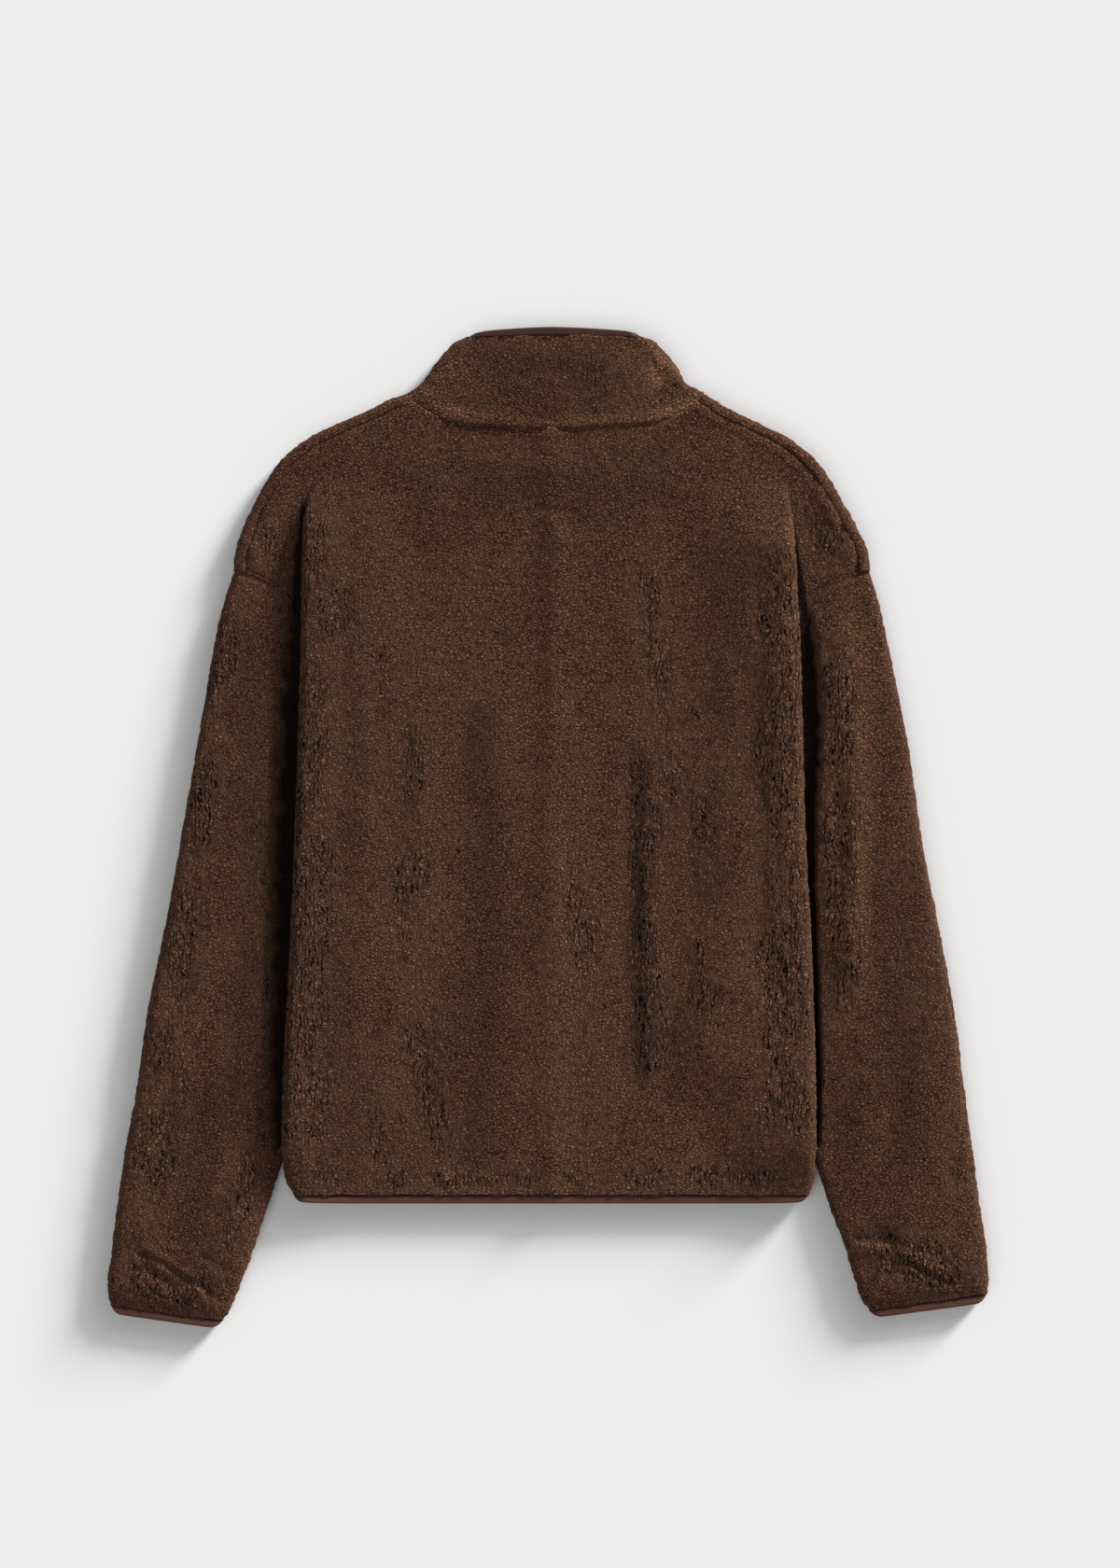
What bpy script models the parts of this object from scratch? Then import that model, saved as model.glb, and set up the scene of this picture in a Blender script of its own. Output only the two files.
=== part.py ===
"""A pile-fleece jacket laid flat on its front, back uppermost, with the sleeves tucked under the body's sides.

Metres, +Z up. +Y runs from hem to collar, +X to the wearer's right, and the jacket lies on the plane Z = 0.
The tables are in millimetres. Each cloth piece is a wall: its pile face is worked out first, as a grid of
points, and the inner face lies FLEECE below it.
"""
import math

import bmesh
import bpy
import numpy as np

MM = 0.001
FLEECE = 4.5            # thickness of the pile fleece
SEAM = 0.22             # each piece stops this far short of a seam line
LAYER = 10.6            # height of cloth that lies on a flattened sleeve
LAID = 12.0             # height of the back where it lies on a front
ROLL = 6.5              # radius of the body's and shoulders' rolled edges
CENTRE = 3.0            # x of the centre back and of the zip
HEM_Y = -274.0
NECK_BACK_Y = 299.3
NECK_FRONT_Y = 238.0
COLLAR_FRONT_Y = 306.0
ZIP_GAP = 6.0           # from the zip's middle to a front's edge
LEFT, RIGHT = 0, 1
OUT = (-1.0, 1.0)       # which way is outwards on each side

# The body's visible side edge, from hem to shoulder: y, and x on the left and on the right.
BODY_EDGE = ((-274, -191.5, 196), (-262, -197, 200), (-251, -198.5, 200.5), (-205, -199, 201), (-109, -194.5, 198.5), (-9, -190, 193.5),
             (75, -187, 191), (131, -185.5, 189.5), (200, -184.5, 186), (268, -182, 181))
# The rows of the back: place, y at the centre, y at the side edge, y of the seam end on the left and on the right.
# Up to BACK_TURNED a row turns under the side edge and ends below it; past BACK_SHOWS it ends on a seam that shows.
BACK_ROWS = (
    (0.000, -274, -274, -274, -274), (0.035, -251, -251, -251, -251), (0.105, -205, -205, -205, -205),
    (0.250, -109, -109, -109, -109), (0.400, -11, -9, -9, -9), (0.530, 72, 75, 75, 75), (0.620, 122, 131, 131, 131),
    (0.665, 141, 160, 163, 163), (0.700, 157, 180, 184, 184), (0.735, 172, 200, 194, 196), (0.775, 190, 220, 222, 222),
    (0.815, 208, 240, 249, 249), (0.855, 228, 258, 270.5, 270.5), (0.900, 252, 272, 288.5, 288.5),
    (0.950, 277, 290, 303, 304), (1.000, 299.3, 311, 319, 319),
)
BACK_TURNED, BACK_SHOWS, FOLD_FULL, FOLD_GONE = 0.640, 0.672, 0.775, 0.89  # places where the side fold changes
# A sleeve's sections from armhole to cuff: outer edge y, x left, x right; inner edge y, x left, x right;
# height at the inner edge and at the outer edge.
SLEEVE_ROWS = (
    (193.0, -236, 242, -10, -181, 184.5, 10.0, 13.0), (159.0, -246, 251, -38, -180, 183, 10.0, 13.5),
    (117.0, -254, 260, -60, -178, 181, 10.0, 14.0), (54.0, -265, 272, -84, -173, 176, 10.0, 15.0),
    (-9.0, -276, 281, -110, -166, 168.5, 10.0, 15.5), (-72.0, -287, 293, -138, -163, 165.5, 10.0, 15.5),
    (-135.0, -300, 304.5, -172, -170, 172.5, 10.0, 15.5), (-198.0, -309, 313, -213, -185, 187.5, 10.0, 15.0),
    (-240.0, -317, 318.5, -249, -198.5, 200, 10.4, 15.0), (-282.0, -323, 324, -284, -210.5, 211.5, 12.0, 15.0),
    (-318.0, -327.5, 329, -322, -223, 224.5, 12.5, 14.5), (-343.0, -330.5, 330.5, -358, -237, 234.5, 12.0, 13.5),
    (-356.5, -328.5, 329.5, -368.5, -243.5, 240.5, 10.6, 11.0),
)
RAISED_CUFF = 8.0       # how much nearer to the collar the right cuff lies
# The armhole seam seen from above, from the underarm to the shoulder: x left, x right, y.
ARMHOLE = ((-181, 184.5, -10), (-180.5, 184.2, 60), (-180.5, 184.2, 120), (-183, 186.5, 150), (-188.5, 192, 163),
           (-195, 199, 173), (-207, 212, 183), (-221, 227, 189.5), (-236, 242, 193))
# The shoulder's outline, from the armhole to the neck: x left, x right, y.
SHOULDER = ((-236, 242, 193), (-234.5, 240, 208), (-229, 232.5, 225), (-221, 223, 242), (-212, 213.5, 259),
            (-201, 202, 275.5), (-178, 179, 294), (-155, 157, 305), (-130, 134, 316), (-119, 124.5, 321.8), (-103.5, 116.5, 326.4))
# The collar's side edge, from the neck seam to the top of the fleece: share of its height, x left, x right, y.
COLLAR_SIDE = ((0, -103, 116, 327), (0.16, -96, 104.5, 333), (0.30, -91, 100.5, 339), (0.46, -86.5, 97, 346),
               (0.64, -79.5, 90, 355), (0.80, -73.5, 84, 361), (0.92, -69, 79.5, 365.5), (1, -61, 72, 368.4))
# Soft folds of the back: x and y of each end, width, height (negative for a trough).
FOLDS = (
    (-47, 30, -47, -170, 15, -1.7), (-48, -165, -68, -262, 15, -1.4), (66.5, 50, 66.5, -195, 13, -2.3),
    (-92, 130, -104, -160, 20, 1.7), (9, 225, 9, -40, 13, 0.9), (9, -30, 8, -262, 23, 1.8),
    (-118, 20, -130, -170, 13, -1.4), (118, 60, 124, -190, 19, 1.2), (95, -70, 92, -215, 12, -1.3),
    (14, 238, 20, 222, 9, -1.1), (-120, 265, -85, 150, 16, -0.9), (120, 262, 100, 150, 17, -0.9),
    (-150, 110, -158, -60, 12, -1.2), (152, 120, 158, -120, 12, -1.3), (-20, 100, -24, -120, 12, -0.7),
)
# Soft folds of the sleeves: side, then as above.
SLEEVE_FOLDS = (
    (RIGHT, 238, 120, 226, -110, 9, 1.9), (RIGHT, 214, 90, 219, -30, 7, -1.5), (RIGHT, 272, -150, 255, -245, 13, -1.9),
    (RIGHT, 240, -300, 262, -312, 8, -1.9), (RIGHT, 280, -325, 296, -334, 6, 1.4), (RIGHT, 228, -317, 254, -316, 5, 1.3),
    (RIGHT, 300, -60, 306, -230, 10, 1.0), (LEFT, -300, -316, -262, -346, 6, 1.6), (LEFT, -285, -336, -268, -340, 8, -1.7),
    (LEFT, -240, 60, -262, -120, 14, 1.0), (LEFT, -222, 20, -236, -200, 10, -1.0), (LEFT, -290, -180, -296, -300, 11, -1.2),
    (LEFT, -240, -230, -262, -300, 11, 1.1),
)
ZIP_FOOT_Y, ZIP_HEAD_Y = -279.0, 300.0
TAPE_NEAR, TAPE_FAR, TAPE_Z, TAPE_THICK = 3.1, 13.0, 4.9, 0.6
CHAIN_HALF, CHAIN_LOW, CHAIN_HIGH = 2.8, 3.9, 6.5
SLIDER_Y, SLIDER_HALF, SLIDER_FOOT, SLIDER_HEAD = 296.0, 4.6, -7.0, 6.0
PLATE, PLATE_CLEAR = 1.1, 0.4           # a slider plate's thickness and its distance from the chain
CROWN_HALF, CROWN_LOW, CROWN_NEAR, CROWN_FAR = 0.8, 0.35, 2.6, 3.6
PULL_AXIS_Z, PULL_HALF, PULL_THICK, PULL_LENGTH = 1.68, 3.5, 0.9, 28.0
PULL_HOLE_HALF, PULL_HOLE_LENGTH = 1.5, 4.4
BIND_DEPTH, BIND_THICK = 7.4, 3.0
SIDE_RAMP = 80.0         # the width over which the back rises onto the sleeves
COLLAR_LEAN = 0.6       # how much of the collar's taper its binding follows

BACK_STEPS = {"middle": 8, "crown": 2, "roll": 6, "under": 1, "valley": 3, "cap": 3}
BACK_ROW_COUNT = 27
COLLAR_STEPS = {"back": 7, "roll": 6, "front": 6}
SLEEVE_STEPS = {"top": 9, "outer": 6, "bottom": 7, "inner": 6}
SLEEVE_RING_COUNT = 19


def smooth(start, end, x):
    """0 before start and 1 past end, eased between them; start may be the larger."""
    t = np.clip((np.asarray(x, float) - start) / (end - start), 0, 1)
    return t * t * (3 - 2 * t)


def read(table, at, key=0):
    """A table's rows at any place, on a smooth curve through them; column key holds the places, rising."""
    rows = np.array(table, float)
    place, values = rows[:, key], np.delete(rows, key, axis=1)
    slope = np.gradient(values, place, axis=0)
    at = np.clip(np.asarray(at, float), place[0], place[-1])
    k = np.clip(np.searchsorted(place, at, side="right") - 1, 0, len(place) - 2)
    wide = (place[k + 1] - place[k])[..., None]
    t = ((at - place[k]))[..., None] / wide
    a, b, sa, sb = values[k], values[k + 1], slope[k] * wide, slope[k + 1] * wide
    return a + sa * t + (3 * (b - a) - 2 * sa - sb) * t**2 + (sa + sb - 2 * (b - a)) * t**3


def by_share(points):
    """The points with their share of the length so far put first, as a table for read."""
    points = np.array(points, float)
    far = np.r_[0, np.cumsum(np.linalg.norm(np.diff(points, axis=0), axis=1))]
    return np.c_[far / far[-1], points]


def body_edge(y, side):
    return read(BODY_EDGE, y)[..., side]


def ridge(fold, x, y):
    """The height that one soft fold adds at each point: eased across its width and towards its ends."""
    x0, y0, x1, y1, width, height = fold
    run = np.array([x1 - x0, y1 - y0], float)
    length = np.hypot(*run)
    run /= length
    across = np.abs((x - x0) * run[1] - (y - y0) * run[0])
    along = (x - x0) * run[0] + (y - y0) * run[1]
    ends = smooth(-1.2 * width, 1.2 * width, along) * smooth(length + 1.2 * width, length - 1.2 * width, along)
    return height * np.exp(-((across / width) ** 2)) * ends


def sleeve_inner(side):
    rows = np.array(SLEEVE_ROWS, float)
    return np.c_[rows[:, 4 + side], rows[:, 3]]


def over_sleeve(x, y, side):
    """How far each point lies inside a sleeve's hidden inner edge: negative where it is still off the sleeve."""
    line = by_share(sleeve_inner(side))
    line = read(line, np.linspace(0, 1, 140))
    away = np.hypot(x[..., None] - line[:, 0], y[..., None] - line[:, 1]).min(axis=-1)
    edge_x = np.interp(y, line[::-1, 1], line[::-1, 0])
    inside = ((x - edge_x) * OUT[side] > 0) & (y < line[0, 1])
    return np.where(inside, away, -away)


def hem_ease(y):
    return 0.42 + 0.58 * smooth(-281, -236, y)


def front_height(x, y, side):
    """The lower face of a front: on the floor, and up over the sleeve that lies below it."""
    x, y = np.broadcast_arrays(np.asarray(x, float), np.asarray(y, float))
    ramp = 15 + 15 * smooth(-25, -85, y)
    return LAYER * smooth(0, 1, (over_sleeve(x, y, side) + ramp + 8) / (ramp + 2)) * hem_ease(y) * smooth(14, -8, y)


def side_low(y, side):
    """The height of the body's side seam, which lies on the sleeve down to where the sleeve comes out."""
    x = body_edge(y, side) - OUT[side] * (ROLL + 3)
    beside = front_height(x, y, side)
    return beside + (LAYER - beside) * smooth(-215, -185, y)


def back_height(x, y):
    """The upper face of the back."""
    x, y = np.broadcast_arrays(np.asarray(x, float), np.asarray(y, float))
    z = LAID + 1.0 * smooth(165, 265, y) + 1.5 * np.exp(-(((x - CENTRE) / 11) ** 2))
    quiet = 1.0
    for side in (LEFT, RIGHT):
        inward = (body_edge(y, side) - x) * OUT[side]
        above = smooth(268, 205, y)
        on_sleeve = smooth(-2 - SIDE_RAMP, -2, over_sleeve(x, y, side)) * smooth(60, -20, y)
        by_edge = smooth(12 + SIDE_RAMP, 12, inward) * smooth(-262, -200, y)
        lift = 9.2 * (1 - (1 - on_sleeve) * (1 - by_edge)) * hem_ease(y)
        z = z + above * (lift + 3.0 * smooth(36, 8, inward) * smooth(-282, -225, y))
        quiet = quiet * smooth(6, 34, inward)
    for fold in FOLDS:
        z = z + ridge(fold, x, y) * quiet
    return z


def cap_height(x, y, side):
    """The upper face of the shoulder's cap, outside the body's side edge."""
    free = (x - body_edge(y, side)) * OUT[side]
    return LAYER - 0.6 + 3.0 * smooth(-2, 36, free)


def inset(line, side, by):
    """A line of x left, x right, y moved inwards by a distance, as x and y for one side."""
    line = np.array(line, float)[:, [side, 2]]
    run = np.gradient(line, axis=0)
    run /= np.linalg.norm(run, axis=1, keepdims=True)
    return line + by * np.c_[run[:, 1], -run[:, 0]] * -OUT[side]


def seam_end_x(y, side):
    """Where the back's row ends on the armhole or shoulder seam that shows."""
    shoulder = inset(SHOULDER, side, ROLL + 1 + 9 * SEAM)
    armhole = np.array(ARMHOLE, float)[3:-1, [side, 2]]
    line = np.concatenate([armhole - [OUT[side] * 5 * SEAM, -6 * SEAM], shoulder])
    return float(np.interp(y, line[:, 1], line[:, 0]))


def share(steps, name):
    return np.arange(1, steps[name] + 1) / steps[name]


def back_row(place, side, steps):
    """One row of the back's outer face, from the centre to its seam."""
    row = read(BACK_ROWS, place)
    mid_y, edge_y, end_y = row[0], row[1], row[2 + side]
    out = OUT[side]
    end_x = seam_end_x(end_y, side)
    edge_x = float(body_edge(edge_y, side))
    shows = float(smooth(BACK_TURNED, BACK_SHOWS, place))
    plain_share = float(smooth(FOLD_FULL, FOLD_GONE, place))
    low = float(side_low(np.array(edge_y), side)) + 1.1 * float(smooth(0.60, 0.67, place))
    high = float(back_height(edge_x - out * ROLL, edge_y))
    radius = (high - low) / 2
    crown_x = edge_x - out * radius
    start_x = (edge_x - out * (radius + 20)) * (1 - plain_share) + (end_x - out * 48) * plain_share
    start_y = mid_y + (edge_y - mid_y) * float(smooth(CENTRE, edge_x, start_x))

    def level(x, y):
        return np.c_[x, y, back_height(x, y)]

    t = np.arange(0, steps["middle"] + 1) / steps["middle"]
    middle = level(CENTRE + (start_x - CENTRE) * t, mid_y + (start_y - mid_y) * smooth(0, 1, t))
    # The folded shape: over the crown, round the rolled edge and back under it to the seam.
    t = share(steps, "crown")
    crown = level(start_x + (crown_x - start_x) * t, start_y + (edge_y - start_y) * t)
    angle = math.pi * share(steps, "roll")
    roll = np.c_[crown_x + out * radius * np.sin(angle), np.full(len(angle), edge_y),
                 low + radius + radius * np.cos(angle)]
    rest = steps["under"] + steps["valley"] + steps["cap"]
    t = np.arange(1, rest + 1) / rest
    turned = np.c_[crown_x + (edge_x - out * (ROLL + 3) - crown_x) * t, edge_y + (end_y - edge_y) * t, np.full(rest, low)]
    # Where the cap shows, it comes out again from under the edge.
    valley_x, tight = crown_x - out * 1.0, 0.9
    t = share(steps, "under")
    under = np.c_[crown_x + (valley_x - crown_x) * t, np.full(len(t), edge_y), np.full(len(t), low)]
    angle = math.pi * share(steps, "valley")
    valley = np.c_[valley_x - out * tight * np.sin(angle), np.full(len(angle), edge_y), low - tight + tight * np.cos(angle)]
    t = share(steps, "cap")
    x, y = valley_x + (end_x - valley_x) * t, edge_y + (end_y - edge_y) * t
    floor = low - 2 * tight
    cap = np.c_[x, y, floor + (cap_height(x, y, side) - floor) * smooth(0, 1, t)]
    shown = np.concatenate([under, valley, cap])
    outer = np.concatenate([crown, roll, turned * (1 - shows) + shown * shows])
    # The plain shape, above the top of the fold.
    t = np.arange(1, len(outer) + 1) / len(outer)
    bent = 1 + 1.2 * float(smooth(0.9, 1, place))
    plain = level(start_x + (end_x - start_x) * t, start_y + (end_y - start_y) * t**bent)
    return np.concatenate([middle, outer * (1 - plain_share) + plain * plain_share])


def back_grid(places, steps):
    """The back's outer face: a row of points for each place, from the left seam to the right one."""
    rows = []
    for place in places:
        left, right = back_row(place, LEFT, steps), back_row(place, RIGHT, steps)
        rows.append(np.concatenate([left[::-1], right[1:]]))
    return np.array(rows)


def armhole_bow(w, side):
    """How far the armhole seam bows out of the straight line from underarm to shoulder."""
    line = by_share(np.array(ARMHOLE, float)[:, [side, 2]])
    return read(line, w) - (line[0, 1:] + (line[-1, 1:] - line[0, 1:]) * np.asarray(w)[..., None])


def sleeve_ring(place, side, steps):
    """One ring of a sleeve's outer face, from its inner edge over the top, round the outer edge and back below."""
    table = np.c_[np.linspace(0, 1, len(SLEEVE_ROWS)), np.array(SLEEVE_ROWS, float)]
    row = read(table, place)
    outer, inner = np.array([row[1 + side], row[0]]), np.array([row[4 + side], row[3]])
    tall_in, tall_out = row[6], row[7]
    outer[1] += side * RAISED_CUFF * float(smooth(0.72, 1, place))
    inner[1] += side * RAISED_CUFF * float(smooth(0.72, 1, place))
    bowed = float(smooth(0.42, 0, place))

    def plan(w):
        w = np.asarray(w, float)
        return inner + (outer - inner) * w[..., None] + armhole_bow(w, side) * bowed

    wide = np.linalg.norm(plan(np.linspace(0, 1, 30))[1:] - plan(np.linspace(0, 1, 30))[:-1], axis=1).sum()
    first, last = tall_in / 2 / wide, 1 - tall_out / 2 / wide
    to_in, to_out = plan(first) - plan(first + 0.03), plan(last) - plan(last - 0.03)
    to_in, to_out = to_in / np.linalg.norm(to_in), to_out / np.linalg.norm(to_out)
    to_in = to_in / np.linalg.norm(to_in)
    t = share(steps, "top")
    w = first + (last - first) * t
    at = plan(w)
    free = (at[:, 0] - body_edge(at[:, 1], side)) * OUT[side] + 3 * np.maximum(0, -258 - at[:, 1])
    puff = 0.3 + 2.6 * float(smooth(0, 0.3, place)) * float(smooth(1.02, 0.86, place))
    z = tall_in + ((tall_out - tall_in) * t + puff * np.sin(math.pi * t) ** 0.8) * smooth(-2, 38, free)
    for fold in SLEEVE_FOLDS:
        if fold[0] == side:
            z = z + ridge(fold[1:], at[:, 0], at[:, 1]) * smooth(2, 16, free) * np.sin(math.pi * t) ** 0.5
    top = np.c_[at, z]
    angle = math.pi * share(steps, "outer")
    round_out = np.c_[plan(last) + to_out * (tall_out / 2 * np.sin(angle))[:, None],
                      tall_out / 2 * (1 + np.cos(angle))]
    t = share(steps, "bottom")
    below = np.c_[plan(last + (first - last) * t), np.zeros(len(t))]
    angle = math.pi * share(steps, "inner")
    round_in = np.c_[plan(first) + to_in * (tall_in / 2 * np.sin(angle))[:, None], tall_in / 2 * (1 - np.cos(angle))]
    return np.concatenate([top, round_out, below, round_in])


def sleeve_grid(places, side, steps):
    return np.array([sleeve_ring(max(place, 0.0011), side, steps) for place in places])


def front_line(place, side):
    """A row of a front seen from above: its zip edge, its bend and its outer end, each x and y.

    place runs 0 to 1 up the side seam, to 2 along the armhole and to 3 along the shoulder.
    """
    zip_x = CENTRE + OUT[side] * ZIP_GAP
    zip_y = float(np.interp(place, (0, 1, 2, 3), (HEM_Y, -16, 150, NECK_FRONT_Y)))
    if place <= 1:
        y = HEM_Y + (-12 - HEM_Y) * place
        end = np.array([float(body_edge(y, side)) - OUT[side] * (ROLL + 3 + 4 * SEAM), y])
    elif place <= 2:
        line = np.array(ARMHOLE, float)[:, [side, 2]]
        line[:, 0] -= OUT[side] * 6 * SEAM
        line[-1] = inset(SHOULDER, side, ROLL)[0]
        line[0, 1] += 4
        end = read(by_share(line), place - 1)
    else:
        end = read(by_share(inset(SHOULDER, side, ROLL)), place - 2)
    start = np.array([zip_x, zip_y])
    neck = float(smooth(2.1, 3, place))
    bend = (start + end) / 2 * (1 - neck) + np.array([OUT[side] * 86 + CENTRE, NECK_FRONT_Y + 3]) * neck
    return start, bend, end


def front_rows(places, side, columns):
    """The flat part of a front's outer face, from the zip edge to the side seam, armhole or shoulder."""
    t = (np.arange(columns + 1) / columns)[:, None]
    rows = []
    for place in places:
        start, bend, end = front_line(place, side)
        plan = start * (1 - t) ** 2 + bend * 2 * t * (1 - t) + end * t**2
        rows.append(np.c_[plan, front_height(plan[:, 0], plan[:, 1], side)])
    return np.array(rows)


def shoulder_roll(places, side, steps):
    """The part of a front that rolls over the shoulder's edge to the shoulder seam on top."""
    outline, bottom = by_share(inset(SHOULDER, side, 0)), by_share(inset(SHOULDER, side, ROLL))
    rows = []
    for place in places:
        edge, foot = read(outline, place), read(bottom, place)
        out = (edge - foot) / np.linalg.norm(edge - foot)
        angle = math.pi * np.arange(steps + 1) / steps
        arc = np.c_[foot + out * (ROLL * np.sin(angle))[:, None], ROLL * (1 - np.cos(angle))]
        rows.append(np.concatenate([arc, [[*(foot - out), 2 * ROLL]]]))
    return np.array(rows)


def collar_row(height, side, steps):
    """One row of the collar's outer face, from the centre back round the side fold to the zip."""
    side_point = read(COLLAR_SIDE, height)[[side, 2]]
    lean = 0.40 + 0.42 * height + 0.17 * float(smooth(0.55, 1, height))
    out = np.array([OUT[side] * lean, math.sqrt(1 - lean**2)])
    foot = side_point - out * ROLL
    if height < 0.15:
        seam_foot = read(by_share(inset(SHOULDER, side, ROLL)), 1.0) + np.array([-OUT[side] * 0.6, 0.9])
        near = 1 - height / 0.15
        foot = foot * (1 - near) + seam_foot * near
    back_y = NECK_BACK_Y + 2 * SEAM + 0.1 + (368.2 - NECK_BACK_Y) * height
    t = np.arange(0, steps["back"] + 1) / steps["back"]
    x = CENTRE + (foot[0] - CENTRE) * t
    neck = back_row(1.0, side, BACK_STEPS)
    sewn = np.interp(x * OUT[side], neck[:, 0] * OUT[side], neck[:, 1])
    sewn = (sewn - sewn[0]) / (sewn[-1] - sewn[0])
    y = back_y + (foot[1] - back_y) * (sewn + (t**1.1 - sewn) * height**0.7)
    seam_z = float(back_height(CENTRE, NECK_BACK_Y)) - 0.9
    rise = seam_z + (16.2 - seam_z) * math.sin(math.pi * min(1, 0.12 + 0.80 * height)) ** 0.8
    rise = rise - 1.6 * float(smooth(0.7, 1, height))
    back = np.c_[x, y, rise + (2 * ROLL - rise) * smooth(0.45, 1, t)]
    angle = math.pi * share(steps, "roll")
    roll = np.c_[foot + out * (ROLL * np.sin(angle))[:, None], ROLL * (1 + np.cos(angle))]
    end = np.array([CENTRE + OUT[side] * ZIP_GAP, NECK_FRONT_Y + 0.7 + (COLLAR_FRONT_Y - NECK_FRONT_Y) * height])
    bend = np.array([OUT[side] * (86 - 44 * height) + CENTRE, NECK_FRONT_Y + 3.9 + 75 * height])
    t = share(steps, "front")[:, None]
    plan = foot * (1 - t) ** 2 + bend * 2 * t * (1 - t) + end * t**2
    return np.concatenate([back, roll, np.c_[plan, np.zeros(len(t))]])


def collar_grid(heights, steps):
    rows = []
    for height in heights:
        left, right = collar_row(height, LEFT, steps), collar_row(height, RIGHT, steps)
        rows.append(np.concatenate([left[::-1], right[1:]]))
    return np.array(rows)


def material(name, colour, roughness, metallic=0.0):
    made = bpy.data.materials.new(name)
    made.use_nodes = True
    shader = made.node_tree.nodes["Principled BSDF"]
    shader.inputs["Base Color"].default_value = (*colour, 1)
    shader.inputs["Roughness"].default_value = roughness
    shader.inputs["Metallic"].default_value = metallic
    return made


def add_grid(mesh, grid, wrap=False):
    """Adds a grid of points and its faces to a mesh; wrap joins each row's end to its start."""
    verts = [[mesh.verts.new(point * MM) for point in row] for row in grid]
    across = len(verts[0]) if wrap else len(verts[0]) - 1
    for lower, upper in zip(verts, verts[1:]):
        for k in range(across):
            after = (k + 1) % len(lower)
            mesh.faces.new((lower[k], lower[after], upper[after], upper[k]))
    return verts


def thicken(mesh, thickness):
    """Turns a sheet into a closed wall, its inner face a set distance below the outer one."""
    bmesh.ops.remove_doubles(mesh, verts=mesh.verts, dist=1e-6)
    mesh.normal_update()
    outer_faces, outer_verts = list(mesh.faces), list(mesh.verts)
    rim = [edge for edge in mesh.edges if len(edge.link_faces) == 1]
    below = {vert: mesh.verts.new(vert.co - vert.normal * thickness) for vert in outer_verts}
    for face in outer_faces:
        mesh.faces.new([below[vert] for vert in reversed(face.verts)])
    for edge in rim:
        loop = edge.link_loops[0]
        a, b = loop.vert, loop.link_loop_next.vert
        mesh.faces.new((b, a, below[a], below[b]))
    bmesh.ops.triangulate(mesh, faces=mesh.faces)


def finish(name, mesh, finish_material, parent=None):
    """Makes a mesh one named object, smooth where it isn't sharply bent."""
    data = bpy.data.meshes.new(name)
    mesh.to_mesh(data)
    mesh.free()
    data.materials.append(finish_material)
    data.shade_smooth()
    data.set_sharp_from_angle(angle=math.radians(50))
    made = bpy.data.objects.new(name, data)
    bpy.context.collection.objects.link(made)
    made.parent = parent
    return made


def cloth(name, grids, finish_material, wrap=False):
    mesh = bmesh.new()
    for grid in grids:
        add_grid(mesh, grid, wrap)
    thicken(mesh, FLEECE * MM)
    return finish(name, mesh, finish_material)


def binding_band(line, normals, depthwise):
    """An elastic binding along a cloth edge, as a ring of points for each point of the edge.

    line holds points of the cloth's outer face, normals point out of it and depthwise runs off its edge.
    """
    near, far, bent = (FLEECE - BIND_THICK) / 2, (FLEECE + BIND_THICK) / 2, 0.9
    section = ((2 * SEAM, near), (BIND_DEPTH - bent, near), (BIND_DEPTH, near + bent), (BIND_DEPTH, far - bent),
               (BIND_DEPTH - bent, far), (6 * SEAM, far))
    return np.stack([line + depthwise * off - normals * deep for off, deep in section], axis=1)


def unit(vectors):
    return vectors / np.linalg.norm(vectors, axis=-1, keepdims=True)


def edge_normals(line, depthwise, top, closed=False):
    """The direction out of the cloth along an edge, square to it and to depthwise; at the point top it is upwards."""
    along = np.roll(line, -1, 0) - np.roll(line, 1, 0) if closed else np.gradient(line, axis=0)
    normals = unit(np.cross(along, depthwise))
    return normals * (1 if normals[top, 2] > 0 else -1)


def hem_binding():
    """Along the lower edge, from the left front's zip edge round the back to the right front's."""
    left, right = (front_rows([0.0], side, 8)[0] for side in (LEFT, RIGHT))
    back = back_grid([0.0], BACK_STEPS)[0]
    line = np.concatenate([left, back, right[::-1]])
    down = np.array([0.0, -1.0, 0.0])
    return binding_band(line, edge_normals(line, down, len(line) // 2), down)


def cuff_binding(side):
    line = sleeve_ring(1.0, side, SLEEVE_STEPS)
    row = SLEEVE_ROWS[-1]
    chord = unit(np.array([row[1 + side] - row[4 + side], row[0] - row[3]], float))
    off = np.array([chord[1], -chord[0], 0.0]) * OUT[side]
    return binding_band(line, edge_normals(line, off, SLEEVE_STEPS["top"] // 2, closed=True), off)


def collar_binding():
    below, line = collar_grid([0.85, 1.0], COLLAR_STEPS)
    up = unit((line - below) * [COLLAR_LEAN, 1, 0])
    return binding_band(line, edge_normals(line, up, len(line) // 2), up)


def band(name, rings, finish_material, closed=False):
    """Joins rings of points into one closed solid, with flat ends where it isn't a loop."""
    mesh = bmesh.new()
    verts = [[mesh.verts.new(point * MM) for point in ring] for ring in rings]
    for lower, upper in list(zip(verts, verts[1:])) + ([(verts[-1], verts[0])] if closed else []):
        for k in range(len(lower)):
            after = (k + 1) % len(lower)
            mesh.faces.new((lower[k], lower[after], upper[after], upper[k]))
    if not closed:
        mesh.faces.new(verts[0][::-1])
        mesh.faces.new(verts[-1])
    bmesh.ops.recalc_face_normals(mesh, faces=mesh.faces)
    bmesh.ops.triangulate(mesh, faces=mesh.faces)
    return finish(name, mesh, finish_material)


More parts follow.
